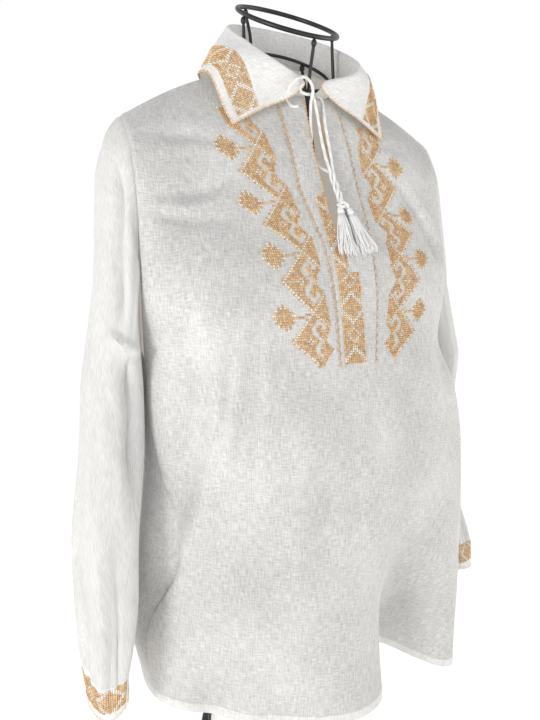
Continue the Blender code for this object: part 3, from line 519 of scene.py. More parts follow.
# %% Knot
knot_middle = np.array((0.0085, -0.0835, 0.6395)) - SHIFT
knot_down = unit(np.array((0.0007, -0.0190, -0.0460)))
knot_across = unit(np.cross(knot_down, OFF_PLACKET))
knot_out = unit(np.cross(knot_across, knot_down))
KNOT_STEPS = 140
loop = []
for k in range(KNOT_STEPS):
    a = 2 * math.pi * k / (KNOT_STEPS - 1) * 3     # in and out three times
    b = 2 * math.pi * k / (KNOT_STEPS - 1) * 2     # while it goes round twice
    wide = 0.0038 + 0.0012 * math.cos(a)
    loop.append(knot_middle + knot_across * wide * 1.25 * math.cos(b) + knot_out * wide * 0.62 * math.sin(b)
                + knot_down * 0.0021 * math.sin(a))
thread_piece("tie_knot", *plied(np.array(loop), 0.0058))

# %% [markdown]
# The dress form is bent steel wire, welded and painted satin black. The frame's
# wires have six flat sides. A copy of each is merged, turned back to quads and
# subdivided, which makes it round; it is then swelled by what the smoothing took.
# The foot is a flat bar, so its edges are eased with a bevel instead.

# %% Wires of the form
WELD_RADIUS = 0.0031


def only(obj):
    bpy.ops.object.select_all(action="DESELECT")
    obj.select_set(True)
    bpy.context.view_layer.objects.active = obj


for name in sorted(n for n in nodes if n.startswith("form_")):
    only(nodes[name])
    bpy.ops.object.duplicate()
    wire = bpy.context.object
    wire.name = name.replace("form_", "wire_")
    bpy.ops.object.mode_set(mode="EDIT")
    bpy.ops.mesh.select_all(action="SELECT")
    bpy.ops.mesh.remove_doubles(threshold=0.00002)
    bpy.ops.mesh.tris_convert_to_quads(face_threshold=1.2, shape_threshold=1.2)
    bpy.ops.mesh.normals_make_consistent(inside=False)
    bpy.ops.object.mode_set(mode="OBJECT")
    if name == "form_foot_ring":
        ease = wire.modifiers.new("eased", "BEVEL")
        ease.width = 0.0009
        ease.segments = 3
    else:
        ease = wire.modifiers.new("round", "SUBSURF")
        ease.levels = 2
        ease.render_levels = 2
    bpy.ops.object.modifier_apply(modifier=ease.name)
    if name != "form_foot_ring":
        bpy.ops.object.mode_set(mode="EDIT")
        bpy.ops.mesh.select_all(action="SELECT")
        bpy.ops.transform.shrink_fatten(value=0.0003 if name == "form_neck_ring" else 0.00022)
        bpy.ops.object.mode_set(mode="OBJECT")
    bpy.ops.object.shade_smooth_by_angle(angle=math.radians(40))
    wire.data.materials.clear()
    wire.data.materials.append(WIRE_BLACK)
    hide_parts(name)
    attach(wire, "root")
    if name.startswith("form_rib") and name != "form_rib_back":
        highest = max(v.co.z for v in wire.data.vertices)
        tops = [v.co for v in wire.data.vertices if v.co.z > highest - 0.0035]
        weld = sum(tops, Vector()) / len(tops)
        bpy.ops.object.select_all(action="DESELECT")
        bpy.ops.mesh.primitive_uv_sphere_add(segments=14, ring_count=9, radius=WELD_RADIUS, location=weld)
        bead = bpy.context.object
        bead.name = name.replace("form_rib", "weld")
        bpy.ops.transform.resize(value=(1.0, 1.0, 1.35))
        bpy.ops.object.transform_apply(location=True, rotation=True, scale=True)
        bpy.ops.object.shade_smooth()
        bead.data.materials.append(WIRE_BLACK)
        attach(bead, "root")

# %% [markdown]
# The cloth's form. Each body panel hangs from the shoulder and neck edge and runs
# through rings down to the hem. A ring is a squarish half oval, so a row of the
# table gives its half widths, where its sides end and how square it is. The same
# rings make the frame's walls; here they are sampled every 4 mm.

# %% Measures of the body
CLOTH = 0.0014                                # wall of the frame's cloth
NECK_POINT = (0.070, 0.010, 0.778)
SHOULDER = (0.205, 0.000, 0.720)
NECK_FRONT = (-0.026, 0.756)
NECK_BACK = (0.054, 0.806)
SLIT_TOP_HALF = 0.0070
SLIT_WIDE_HALF = 0.0095
NECK_SHARE = 4 / 14                           # part of a panel's top that is neck
BODY = (
    # zc     zn     zf     xn     xf     yn      yf      yc     nn   nf   bn      bf      zb     yb    nb
    (0.080, 0.112, 0.050, 0.196, 0.234, -0.044, -0.012, -0.150, 1.4, 2.6, -0.044, -0.012, 0.090, 0.120, 2.2),
    (0.170, 0.184, 0.150, 0.199, 0.237, -0.026, -0.010, -0.147, 1.5, 2.6, -0.026, -0.010, 0.170, 0.116, 2.2),
    (0.270, 0.268, 0.262, 0.168, 0.232, -0.050, -0.010, -0.142, 1.6, 2.6, -0.050, -0.010, 0.270, 0.110, 2.2),
    (0.360, 0.356, 0.356, 0.181, 0.226, -0.030, -0.010, -0.137, 1.8, 2.5, -0.030, -0.010, 0.360, 0.106, 2.2),
    (0.425, 0.425, 0.425, 0.190, 0.216, -0.022, -0.014, -0.129, 2.1, 2.4, -0.022, -0.014, 0.425, 0.104, 2.2),
    (0.477, 0.480, 0.480, 0.190, 0.192, -0.012, -0.008, -0.120, 2.4, 2.5, -0.012, -0.008, 0.490, 0.105, 2.3),
    (0.575, 0.555, 0.555, 0.204, 0.190, -0.042, -0.036, -0.101, 2.8, 2.8, 0.034, 0.034, 0.580, 0.108, 2.5),
    (0.655, 0.635, 0.635, 0.205, 0.190, -0.040, -0.034, -0.068, 2.8, 2.8, 0.042, 0.042, 0.670, 0.098, 2.5),
    (0.712, 0.690, 0.690, 0.205, 0.198, -0.026, -0.020, -0.044, 2.6, 2.6, 0.030, 0.030, 0.745, 0.078, 2.4),
)
BACK_SWELL = (0.004, 0.012, 0.038, 0.012, 0.002, 0.0, 0.0, 0.0, 0.0)
# at: x at the hem. lean: how far that moves per metre. wide, deep, top
FRONT_FOLDS = (
    (0.099, -0.10, 0.041, 0.096, 0.370),
    (-0.150, 0.05, 0.020, 0.012, 0.400),
    (-0.085, -0.10, 0.030, 0.008, 0.420),
    (0.205, -0.05, 0.020, 0.006, 0.300),
)
BACK_FOLDS = (
    (-0.120, 0.05, 0.030, 0.045, 0.380),
    (0.000, 0.00, 0.034, 0.040, 0.420),
    (0.125, -0.05, 0.030, 0.042, 0.360),
)
print("rings of the body:", len(BODY))

# %% Rings of the body
def bump(x, centre, width):
    return math.exp(-((x - centre) / width) ** 2)


def ramp(x, low, high):
    k = min(1.0, max(0.0, (x - low) / (high - low)))
    return k * k * (3 - 2 * k)


def ring_point(t, row, back):
    """A point of a body ring; t runs -1 (near edge) to 1 (far edge)."""
    zc, zn, zf, xn, xf, yn, yf, yc, nn, nf, bn, bf, zb, yb, nb = row
    side = abs(t)
    half, edge_y, edge_z, n = (xn, yn, zn, nn) if t < 0 else (xf, yf, zf, nf)
    mid_y, mid_z = yc, zc
    if back:
        edge_y, mid_y, mid_z, n = (bn if t < 0 else bf), yb, zb, nb
    s = math.sin(math.pi / 2 * side)
    swell = 0.0
    if back and t < 0:
        k = (1 - side) / 0.22
        swell = BACK_SWELL[BODY.index(row)] * k * math.exp(1 - k)
    rise = max(0.0, 1 - s ** n) ** (1 / n)
    x = math.copysign(half * s + swell, t) if t else 0.0
    return (x, edge_y + (mid_y - edge_y) * rise, mid_z + (edge_z - mid_z) * s ** 2)


def neck_edge(a):
    """The neck seam; a is 0 at the front middle and pi at the back."""
    y, z = ((f + b) / 2 - (b - f) / 2 * math.cos(a) for f, b in zip(NECK_FRONT, NECK_BACK))
    return (NECK_POINT[0] * math.sin(a), y, z)


def top_point(t, back):
    """The top edge of a body panel: shoulder seam, then neck edge."""
    side, sign = abs(t), (-1 if t < 0 else 1)
    if side >= NECK_SHARE:
        k = (side - NECK_SHARE) / (1 - NECK_SHARE)
        x, y, z = (e + (s - e) * k for e, s in zip(neck_edge(math.pi / 2), SHOULDER))
        return (sign * x, y, z + 0.006 * math.sin(math.pi * k))
    a = math.pi / 2 * side / NECK_SHARE
    x, y, z = neck_edge(math.pi - a if back else a)
    return (sign * x, y, z)


def folded(p, folds, way, t):
    """Push a body point in where a large fold runs."""
    x, y, z = p
    hold = 1 - abs(t) ** 10
    for at, lean, wide, deep, top in folds:
        centre = at + lean * (z - 0.08)
        fade = 1 - ramp(z, 0.06, top)
        push = hold * fade ** 1.3 * bump(x, centre, wide * (1 + 0.5 * (1 - fade)))
        y += way * deep * push
        z += 0.012 * push * ramp(deep, 0.03, 0.09)
    return (x, y, z)


def slit_half(z, foot):
    """Half of the slit's opening at a height."""
    k = min(1.0, max(0.0, (z - foot) / (NECK_FRONT[1] - foot)))
    return SLIT_TOP_HALF * k + (SLIT_WIDE_HALF - SLIT_TOP_HALF * 0.6) * math.sin(math.pi * k)

# %% Normals and even rows
def normals(grid, closed=False):
    """Unit normals of a grid of points."""
    g = np.concatenate([grid[:, -1:], grid, grid[:, :1]], axis=1) if closed else grid
    n = unit(np.cross(np.gradient(g, axis=1), np.gradient(g, axis=0)))
    return n[:, 1:-1] if closed else n


def outward(n, row, column, way):
    """The same normals, turned if need be so that the one at this place faces way."""
    return n * np.sign(np.dot(n[row, column], way))


def even_rows(keys, gap, extra=()):
    """Row places through keys, one every gap metres; extra ones are metres from the first row."""
    fine = np.linspace(0, len(keys) - 1, 400)
    line = np.array([glide(keys, w) for w in fine])
    length = run_of(line)
    at = np.linspace(0, length[-1], int(length[-1] / gap) + 1)
    clear = [min([abs(a - e) for e in extra] or [1]) > gap * 0.45 for a in at]
    at = np.array(sorted(set(at[np.array(clear)]) | set(extra)))
    return np.interp(at, length, fine)

# %% Grids of the two panels
COLUMNS = 140             # steps across a body panel
MID = COLUMNS // 2
ROW_GAP = 0.0039
HEM_STITCH, HEM_TOP = 0.0088, 0.0098     # the turned hem's stitch line and upper edge
HEM_ROWS = (0.0, 0.0012, HEM_STITCH, HEM_TOP, 0.0108)
across_panel = np.linspace(-1, 1, COLUMNS + 1)     # the near edge to the far one


def panel(back):
    keys = [[ring_point(t, row, back) for t in across_panel] for row in BODY]
    keys.append([top_point(t, back) for t in across_panel])
    keys = np.array(keys)
    places = even_rows(keys[:, MID + 12], ROW_GAP, HEM_ROWS)
    folds, way = (BACK_FOLDS, -1) if back else (FRONT_FOLDS, 1)
    rows = [zip(glide(keys, w), across_panel) for w in places]
    return np.array([[folded(p, folds, way, t) for p, t in row] for row in rows]), places


front, front_places = panel(False)
back, back_places = panel(True)
print("front grid", front.shape[:2], "back grid", back.shape[:2])

# %% [markdown]
# Creases. Worn gauze keeps the marks of its own weight: long soft troughs under
# the bust, steep folds down the near side, short drags across the upper chest
# and one pressed line down the front. Each is a line of points on the cloth with
# a depth and a width of its own; a second list gives the back its own like them.

# %% Creases
# Each: depth (negative sinks in), half width, then x, z of the points it runs
# through, all in mm.
FRONT_CREASES = (
    (-5.6, 11, (-186, 530, -165, 465, -166, 410, -170, 340)),
    (3.4, 8, (-190, 470, -190, 400, -188, 320)),
    (3.0, 8, (-146, 500, -148, 427, -154, 340)),
    (-1.8, 7, (-136, 480, -142, 420, -149, 350)),
    (3.2, 6, (-118, 535, -127, 477, -135, 421, -142, 350)),
    (2.0, 5, (-98, 530, -101, 470, -108, 400)),
    (-1.4, 9, (-110, 470, -113, 400, -116, 330)),
    (4.8, 10, (-136, 430, -155, 341, -172, 256, -200, 170)),
    (-4.6, 9, (-158, 380, -178, 300, -192, 225)),
    (-4.2, 7, (103, 672, 131, 627, 154, 585)),
    (3.0, 7, (116, 678, 143, 636, 165, 600)),
    (-2.6, 12, (150, 560, 158, 480, 150, 400)),
    (1.1, 3.2, (13, 467, 8, 362, 17, 257, 20, 150)),
    (-1.6, 12, (-4, 440, -10, 330, -4, 180)),
    (-2.4, 7, (-190, 700, -148, 704, -104, 700)),
    (1.2, 6, (-182, 685, -150, 690, -120, 686)),
    (-3.2, 7, (-196, 644, -158, 646, -118, 660)),
    (1.8, 6, (-190, 632, -160, 633, -126, 644)),
    (-2.2, 6, (-199, 629, -163, 620, -122, 622)),
    (1.9, 12, (-60, 440, -66, 330, -78, 200)),
    (-2.0, 13, (-36, 430, -40, 300, -46, 170)),
    (-2.2, 14, (70, 460, 78, 360, 70, 280)),
    (1.8, 13, (40, 450, 46, 350, 50, 250)),
    (2.6, 12, (176, 470, 192, 360, 205, 240)),
    (-2.4, 10, (196, 420, 214, 330, 222, 200)),
    (-1.4, 7, (60, 700, 100, 712, 150, 700)),
    (-2.6, 9, (-176, 560, -168, 500, -150, 455)),
)
BACK_CREASES = (
    (-5.8, 12, (-150, 560, -158, 440, -166, 300)),
    (4.2, 10, (-120, 540, -122, 420, -116, 300)),
    (-3.5, 13, (-60, 600, -58, 460, -62, 300)),
    (3.0, 12, (-30, 570, -26, 430, -30, 280)),
    (-3.8, 13, (40, 590, 46, 450, 40, 280)),
    (3.5, 11, (80, 560, 88, 420, 80, 260)),
    (-5.1, 12, (130, 560, 140, 430, 150, 290)),
    (-2.9, 8, (-150, 690, -100, 700, -40, 692)),
    (-2.9, 8, (40, 700, 100, 708, 150, 696)),
    (2.2, 8, (-160, 650, -110, 655, -60, 645)),
)
print("creases: front", len(FRONT_CREASES), "back", len(BACK_CREASES))

# %% Pressing the creases in
CREASE_GAIN = 1.55        # every list, deeper or shallower


def crease_depth(flat, creases):
    """Height given to points by a crease list; flat has as many measures as its points."""
    total = np.zeros(len(flat))
    for index, (deep, wide, places) in enumerate(creases):
        line = np.array(places).reshape(-1, flat.shape[1]) / 1000
        fine = np.array([glide(line, w) for w in np.linspace(0, len(line) - 1, 40)])
        gap = np.linalg.norm(flat[:, None, :] - fine[None], axis=2)
        nearest = gap.argmin(axis=1)
        along = nearest / 39.0
        swell = np.sin(math.pi * np.clip(along * 0.92 + 0.04, 0, 1)) ** 0.6
        uneven = 1 + 0.25 * np.sin(9 * along + 2.1 * index)
        total += CREASE_GAIN * deep / 1000 * swell * uneven * np.exp(-(gap.min(axis=1) / (wide / 1000)) ** 2)
    return total


def ripple(points, seed, coarse=0.0011, fine=0.0004):
    """Small uneven waves of hanging gauze, longer than they are wide."""
    out = np.empty(len(points))
    for i, (x, y, z) in enumerate(points):
        out[i] = coarse * noise.noise(Vector((x * 22 + seed, y * 22, z * 7)))
        out[i] += fine * noise.noise(Vector((x * 80, y * 80 + seed, z * 30)))
    return out


def with_creases(grid, n, creases, seed):
    """A panel with its creases; the seams hold its sides and top."""
    edge_hold = 1 - np.abs(across_panel) ** 16
    top_fade = np.clip((len(grid) - 1 - np.arange(len(grid))) / 8.0, 0.15, 1)[:, None]
    flat = grid.reshape(-1, 3)
    high = crease_depth(flat[:, [0, 2]], creases) + ripple(flat, seed)
    return grid + n * (high.reshape(grid.shape[:2]) * (edge_hold[None] * top_fade))[..., None]


front = with_creases(front, normals(front), FRONT_CREASES, 3.0)
back = with_creases(back, -normals(back), BACK_CREASES, 11.0)
front_n = normals(front)
back_n = -normals(back)
print("creased points:", front.shape[0] * front.shape[1] + back.shape[0] * back.shape[1])

# %% [markdown]
# A cloth wall has an outer skin, an inner skin and a turned edge between them. One
# function closes any grid of points into such a shell and lays the UV map in
# metres along the threads, so that the weave never stretches.

# %% Closing a grid into cloth
GAUZE_OUT = 0.0013        # how far the outer skin stands off the frame's inner face
GAUZE_IN = 0.0004         # and how far the inner skin does


def lengths(grid, axis, closed=False):
    """Running length along one axis of a grid, in metres."""
    g = np.concatenate([grid, grid[:, :1]], axis=1) if closed else grid
    step = np.linalg.norm(np.diff(g, axis=axis), axis=2)
    shape = list(step.shape)
    shape[axis] = 1
    return np.concatenate([np.zeros(shape), np.cumsum(step, axis=axis)], axis=axis)


def cloth(name, grid, n, outer=GAUZE_OUT, inner=GAUZE_IN, closed=False, ids=None, skip=None, origin=(0, 0),
          finish=None, hem=0.0):
    rows, cols = grid.shape[:2]
    ids = np.arange(rows * cols).reshape(rows, cols) if ids is None else ids
    across, down = lengths(grid, 1, closed), lengths(grid, 0)
    if closed:
        down = np.concatenate([down, down[:, :1]], axis=1)
    across = across - across[:, across.shape[1] // 2][:, None] + origin[0]
    outer = np.broadcast_to(outer, (rows, cols))
    inner = np.broadcast_to(inner, (rows, cols))
    sheet = (grid + n * outer[..., None] - SHIFT).reshape(-1, 3)
    lining = (grid + n * inner[..., None] - SHIFT).reshape(-1, 3)
    quads, spots, turned = [], [], []
    for r in range(rows - 1):
        for c in range(cols if closed else cols - 1):
            d = (c + 1) % cols
            quad = (int(ids[r, c]), int(ids[r, d]), int(ids[r + 1, d]), int(ids[r + 1, c]))
            if c != skip and len(set(quad)) == 4:
                quads.append(quad)
                turned.append(2 if down[r + 1, c] <= hem else 0)
                around = ((r, c), (r, c + 1), (r + 1, c + 1), (r + 1, c))
                spots.append([(across[a, b], down[a, b]) for a, b in around])
    middle = quads[len(quads) // 2]
    flat_n = n.reshape(-1, 3)[middle[0]]
    p = [sheet[i] for i in middle]
    if np.dot(np.cross(p[1] - p[0], p[2] - p[0]), flat_n) < 0:
        quads = [quad[::-1] for quad in quads]
        spots = [spot[::-1] for spot in spots]
    count = len(sheet)
    faces, uvs, inside = [], [], []
    edges = {}
    for quad, spot, layer_index in zip(quads, spots, turned):
        faces.append(quad)
        uvs.append(spot)
        faces.append(tuple(i + count for i in quad[::-1]))
        uvs.append(spot[::-1])
        inside += [layer_index, 1]
        for k in range(4):
            a, b = quad[k], quad[(k + 1) % 4]
            edges.setdefault((min(a, b), max(a, b)), []).append((a, b, spot[k], spot[(k + 1) % 4]))
    for found in edges.values():
        if len(found) == 1:
            a, b, spot_a, spot_b = found[0]
            faces.append((b, a, a + count, b + count))
            uvs.append([spot_b, spot_a, spot_a, spot_b])
            inside.append(0)
    used = sorted({i for face in faces for i in face})
    place = {i: k for k, i in enumerate(used)}
    points = np.concatenate([sheet, lining])[used]
    mesh = bpy.data.meshes.new(name)
    faces_used = [tuple(place[i] for i in face) for face in faces]
    mesh.from_pydata([tuple(map(float, p)) for p in points], [], faces_used)
    layer = mesh.uv_layers.new(name="weave")
    layer.data.foreach_set("uv", np.array([xy for face in uvs for xy in face], dtype=np.float32).ravel())
    mesh.materials.append(finish or GAUZE)
    # slot 1, the inner skin: painted shade with a painted glow
    mesh.materials.append(GAUZE_INSIDE_SHADE_GLOW)
    mesh.materials.append(GAUZE_DOUBLE)
    mesh.polygons.foreach_set("material_index", inside)
    mesh.shade_smooth()
    mesh.set_sharp_from_angle(angle=math.radians(60))
    obj = bpy.data.objects.new(name, mesh)
    scene.collection.objects.link(obj)
    print(name, "faces", len(mesh.polygons), "cloth", round(sum(f.area for f in mesh.polygons) / 2, 4), "m2")
    return obj


def finish_cloth(obj, node):
    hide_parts(node)
    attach(obj, "root")

# %% [markdown]
# Front and back panels. They meet along the side seams, where the edge sinks by
# half a millimetre between two slightly raised lines, as a felled seam does, and
# the last centimetre above the hem is a turned band. The front is open down the
# neck slit, so its middle column is doubled there and parted.

# %% Front and back
SLIT_FOOT_ASKED = 0.575
slit_row = int(np.argmin(np.abs(front[:, MID, 2] - SLIT_FOOT_ASKED)))
SLIT_FOOT = float(front[slit_row, MID, 2])


def felled(gap, ridge, wide, sink, narrow):
    """Height beside a sewn edge: sunk at the edge, with a raised line beside it."""
    return 0.0004 * np.exp(-((gap - ridge) / wide) ** 2) - sink * np.exp(-(gap / narrow) ** 2)


def edge_profile(grid):
    """Extra height of a panel's outer skin: felled side seams and a turned hem."""
    across, up = lengths(grid, 1), lengths(grid, 0)
    high = felled(np.minimum(across, across[:, -1:] - across), 0.005, 0.003, 0.0006, 0.0016)
    band = 0.00045 / (1 + np.exp(np.minimum((up - HEM_TOP) / 0.0005, 40)))
    stitch = -0.0005 * np.exp(-((up - HEM_STITCH) / 0.0007) ** 2)
    return high + band + stitch


def seam_normals():
    """Both panels share one outward way along the side and shoulder seams."""
    for column in (0, COLUMNS):
        # rows differ in number, so the nearest height on the other panel is used
        for own, own_n, other, other_n in ((front, front_n, back, back_n), (back, back_n, front, front_n)):
            heights = other[:, column, 2]
            for r in range(len(own)):
                near = int(np.argmin(np.abs(heights - own[r, column, 2])))
                own_n[r, column] = own_n[r, column] * 0.5 + other_n[near, column] * 0.5
    front_n[:, (0, COLUMNS)] = unit(front_n[:, (0, COLUMNS)])
    back_n[:, (0, COLUMNS)] = unit(back_n[:, (0, COLUMNS)])
    for c in range(COLUMNS + 1):
        if abs(c - MID) >= NECK_SHARE * MID:
            shared = unit(front_n[-1, c] + back_n[-1, c])
            front_n[-1, c] = shared
            back_n[-1, c] = shared


seam_normals()
split = np.concatenate([front[:, :MID + 1], front[:, MID:]], axis=1)
split_n = np.concatenate([front_n[:, :MID + 1], front_n[:, MID:]], axis=1)
SLIT_REACH = 5            # columns beside the slit that give way
HEM_SHOWS = 0.0099        # below this the cloth is doubled, and lighter
for r in range(slit_row + 1, len(front)):
    half = slit_half(front[r, MID, 2], SLIT_FOOT)
    for side, start in ((-1, MID), (1, MID + 1)):
        last = abs(front[r, MID + side * SLIT_REACH, 0])
        for k in range(SLIT_REACH):
            x = split[r, start + side * k, 0]
            split[r, start + side * k, 0] = side * (half + abs(x) * (last - half) / last)
ids = np.arange(split.shape[0] * split.shape[1]).reshape(split.shape[:2])
ids[:slit_row + 1, MID + 1] = ids[:slit_row + 1, MID]
split_out = GAUZE_OUT + edge_profile(split)
front_cloth = cloth("gauze_front", split, split_n, split_out, ids=ids, skip=MID, hem=HEM_SHOWS)
back_cloth = cloth("gauze_back", back, back_n, GAUZE_OUT + edge_profile(back), hem=HEM_SHOWS)
finish_cloth(front_cloth, "tunic_front")
finish_cloth(back_cloth, "tunic_back")

# %% [markdown]
# Sleeves. Each is one flat length of gauze closed under the arm. It starts on the
# armhole's own edge, swells over the cap and runs down through ovals to the cuff,
# where its fullness is drawn into small pleats.

# %% Measures of the sleeves
AROUND = 20               # steps of the frame's armhole
SLEEVE_COLUMNS = 100
SLEEVE = {
    "right": (
        # z      x       y       ax      ay      lift
        (0.455, 0.2235, -0.004, 0.0285, 0.042, 0.000),
        (0.380, 0.2285, -0.012, 0.0300, 0.045, 0.000),
        (0.300, 0.2380, -0.016, 0.0300, 0.045, 0.000),
        (0.235, 0.2425, -0.026, 0.0285, 0.041, 0.000),
        (0.200, 0.2475, -0.033, 0.0235, 0.038, 0.001),
        (0.174, 0.2510, -0.037, 0.0200, 0.035, 0.002),
        (0.131, 0.2500, -0.039, 0.0180, 0.029, 0.008),
    ),
    "left": (
        (0.452, 0.2400, 0.000, 0.0235, 0.040, 0.000),
        (0.380, 0.2540, 0.022, 0.0225, 0.041, 0.000),
        (0.300, 0.2600, 0.030, 0.0220, 0.040, 0.000),
        (0.235, 0.2700, 0.018, 0.0240, 0.038, 0.000),
        (0.200, 0.2740, 0.006, 0.0260, 0.036, 0.001),
        (0.174, 0.2760, -0.006, 0.0260, 0.034, 0.002),
        (0.136, 0.2770, -0.018, 0.0235, 0.029, 0.006),
    ),
}
CAP = {"right": (0.013, 0.004), "left": (0.010, 0.000)}
UNDERARM = 0.0044         # how far the edge is moved out under the arm
CAP_REACH = 0.12          # share of the way down where the cap swells most
SLEEVE_GAP = 0.0042       # between rows
SLEEVE_ROUND = 0.24       # metres round a sleeve
DRAPE_FOLDS, CUFF_PLEATS = 5, 14
# Long marks on a sleeve: angle in turns from the underarm, over the front, at the
# top and at the foot of the mark, its two heights, depth and half width in mm.
SLEEVE_CREASES = {
    "right": (
        (0.18, 0.14, 0.640, 0.480, -3.4, 7), (0.30, 0.27, 0.620, 0.430, 1.8, 6),
        (0.14, 0.22, 0.420, 0.300, -4.0, 9), (0.24, 0.30, 0.450, 0.320, 3.0, 8),
        (0.40, 0.42, 0.660, 0.260, -1.5, 4), (0.46, 0.47, 0.600, 0.240, 1.2, 4),
        (0.36, 0.33, 0.300, 0.180, 2.4, 5), (0.28, 0.25, 0.280, 0.176, -2.6, 5),
        (0.20, 0.18, 0.250, 0.176, 2.0, 4), (0.60, 0.63, 0.600, 0.300, -2.0, 7),
        (0.74, 0.70, 0.520, 0.220, 2.2, 8), (0.88, 0.85, 0.420, 0.200, -2.4, 8),
    ),
    "left": (
        (0.34, 0.30, 0.560, 0.400, -2.6, 8), (0.24, 0.22, 0.420, 0.260, 2.2, 8),
        (0.14, 0.18, 0.360, 0.200, -2.6, 7), (0.44, 0.42, 0.620, 0.300, 1.4, 5),
        (0.30, 0.34, 0.260, 0.180, -2.2, 5), (0.20, 0.24, 0.250, 0.178, 2.0, 4),
        (0.60, 0.63, 0.600, 0.300, -2.0, 7), (0.74, 0.70, 0.520, 0.220, 2.2, 8),
        (0.88, 0.85, 0.420, 0.200, -2.4, 8), (0.52, 0.50, 0.560, 0.280, -1.4, 5),
    ),
}
# Folds read as places on the sleeve: depth, half width, then x, y, z of their
# points, all in mm.
SLEEVE_FOLDS = {
    "right": (
        (-8.0, 7, (-217.5, -26, 676, -221.5, -34, 640, -225, -34, 600, -226.5, -38, 560,
                   -226, -43, 530)),
        (3.4, 6, (-212, -40, 640, -215, -44, 580, -220, -47, 530)),
        (5.2, 5, (-236, -36, 512, -226, -46, 503, -212, -47, 492)),
        (-9.6, 12, (-228, -46, 486, -219, -48, 468, -219, -49, 440, -223, -53, 405, -227, -55, 365)),
        (1.8, 5, (-262, -30, 300, -268, -34, 240, -270, -40, 195)),
        (-2.2, 5, (-258, -45, 260, -262, -55, 215, -263, -62, 185)),
    ),
    "left": (
        (-3.0, 8, (232, -20, 600, 238, -32, 520, 244, -30, 440)),
        (2.0, 7, (262, -10, 400, 268, -6, 320, 274, -10, 250)),
    ),
}

print("sleeve folds:", {side: len(rows) for side, rows in SLEEVE_FOLDS.items()})

# %% Sleeve surface
def tucked(k):
    """1 under the arm, 0 from a third of the way up the armhole."""
    k = min(k % AROUND, -k % AROUND)
    return math.exp(-(k / 4.5) ** 4)


def oval(row, sign, k):
    z, x, y, ax, ay, lift = row
    a = 2 * math.pi * k / AROUND
    dip = 0.0
    if sign < 0 and z < 0.21:
        # the near cuff hangs forward, so it dips towards its outer front
        gap = (a - 2.1 + math.pi) % (2 * math.pi) - math.pi
        dip = ramp(0.215 - z, 0.0, 0.045) * (0.010 * math.cos(gap) + 0.005 * math.exp(-(gap / 0.6) ** 2))
    return np.array([sign * (x - ax * math.cos(a)), y - ay * math.sin(a), z + lift * math.sin(a) - dip])


def armhole_point(k, column):
    """A point of the armhole's edge; the front edge first, then the back one."""
    is_front = k <= AROUND / 2
    grid, places = (front, front_places) if is_front else (back, back_places)
    w = np.interp(k if is_front else AROUND - k, (0, 3, 6, 8, 10), (5, 6, 7, 8, 9))
    r = np.interp(w, places, np.arange(len(places)))
    low = min(int(r), len(grid) - 2)
    return grid[low, column] * (1 - (r - low)) + grid[low + 1, column] * (r - low)


def sleeve_rows(side, column, sign):
    ks = [AROUND * i / SLEEVE_COLUMNS for i in range(SLEEVE_COLUMNS)]
    start = np.array([armhole_point(k, column) + [sign * UNDERARM * tucked(k), 0, 0] for k in ks])
    rings = [np.array([oval(row, sign, k) for k in ks]) for row in SLEEVE[side]]
    swell_out, swell_side = CAP[side]
    rows = []
    for u in np.concatenate([[0, 0.008, 0.02, 0.036], np.linspace(0.06, 1, 58)]):
        line = []
        for k, a, b in zip(ks, start, rings[0]):
            turn = 2 * math.pi * k / AROUND
            way_down = u / CAP_REACH
            swell = swell_out * ((1 - math.cos(turn)) / 2) ** 2 * way_down * math.exp(1 - way_down)
            swell += 0.0015 * ((1 + math.cos(turn)) / 2) ** 3 * math.sin(math.pi * u)
            push = swell_side * math.sin(turn) * math.sin(math.pi * u)
            line.append(a * (1 - u) + b * u + np.array([sign * swell, -push, 0]))
        rows.append(line)
    low = rings[:-1]
    middle = SLEEVE_COLUMNS // 4
    places = even_rows([ring[middle] for ring in low], SLEEVE_GAP)[1:]
    rows += [list(glide(low, w)) for w in places]
    rows = np.array(rows)
    for _ in range(8):
        near = 0.25 * rows[:-2] + 0.5 * rows[1:-1] + 0.25 * rows[2:]
        weight = np.clip((np.arange(1, len(rows) - 1) - 40) / 12, 0, 1)[:, None, None]
        rows[1:-1] = near * weight + rows[1:-1] * (1 - weight)
    return rows, rings


def sleeve_marks(rows, side, sign):
    """Pleats that gather to the cuff, and the long creases of the table."""
    out = rows.copy()
    ways = outward(normals(rows, True), len(rows) // 2, SLEEVE_COLUMNS // 2, [sign, 0, 0])
    large = crease_depth(rows.reshape(-1, 3), SLEEVE_FOLDS[side]).reshape(rows.shape[:2])
    for c in range(SLEEVE_COLUMNS):
        turn = c / SLEEVE_COLUMNS
        for r in range(len(rows)):
            z = rows[r, c, 2]
            reach = ramp(0.46 - z, 0.0, 0.20) * (1 - 0.5 * ramp(0.20 - z, 0.0, 0.05))
            high = 0.0035 * reach * math.cos(2 * math.pi * DRAPE_FOLDS * turn + 0.6)
            gather = ramp(0.235 - z, 0.0, 0.05)
            high += 0.0011 * gather * math.sin(2 * math.pi * CUFF_PLEATS * turn + 2.0 * math.sin(6.3 * turn))
            for top_turn, foot_turn, top, foot, deep, wide in SLEEVE_CREASES[side]:
                k = (top - z) / (top - foot)
                if -0.15 < k < 1.15:
                    at = top_turn + (foot_turn - top_turn) * k
                    gap = abs((turn - at + 0.5) % 1.0 - 0.5) * SLEEVE_ROUND
                    fade = ramp(k, -0.12, 0.25) * (1 - ramp(k, 0.75, 1.12))
                    high += deep / 1000 * fade * math.exp(-(gap / (wide / 1000)) ** 2)
            around = Vector((4 * math.cos(6.283 * turn), 4 * math.sin(6.283 * turn), z * 9))
            high += 0.0010 * noise.noise(around)
            hold = min(1.0, r / 9.0)
            out[r, c] = rows[r, c] + ways[r, c] * (high + large[r, c]) * hold
    return out

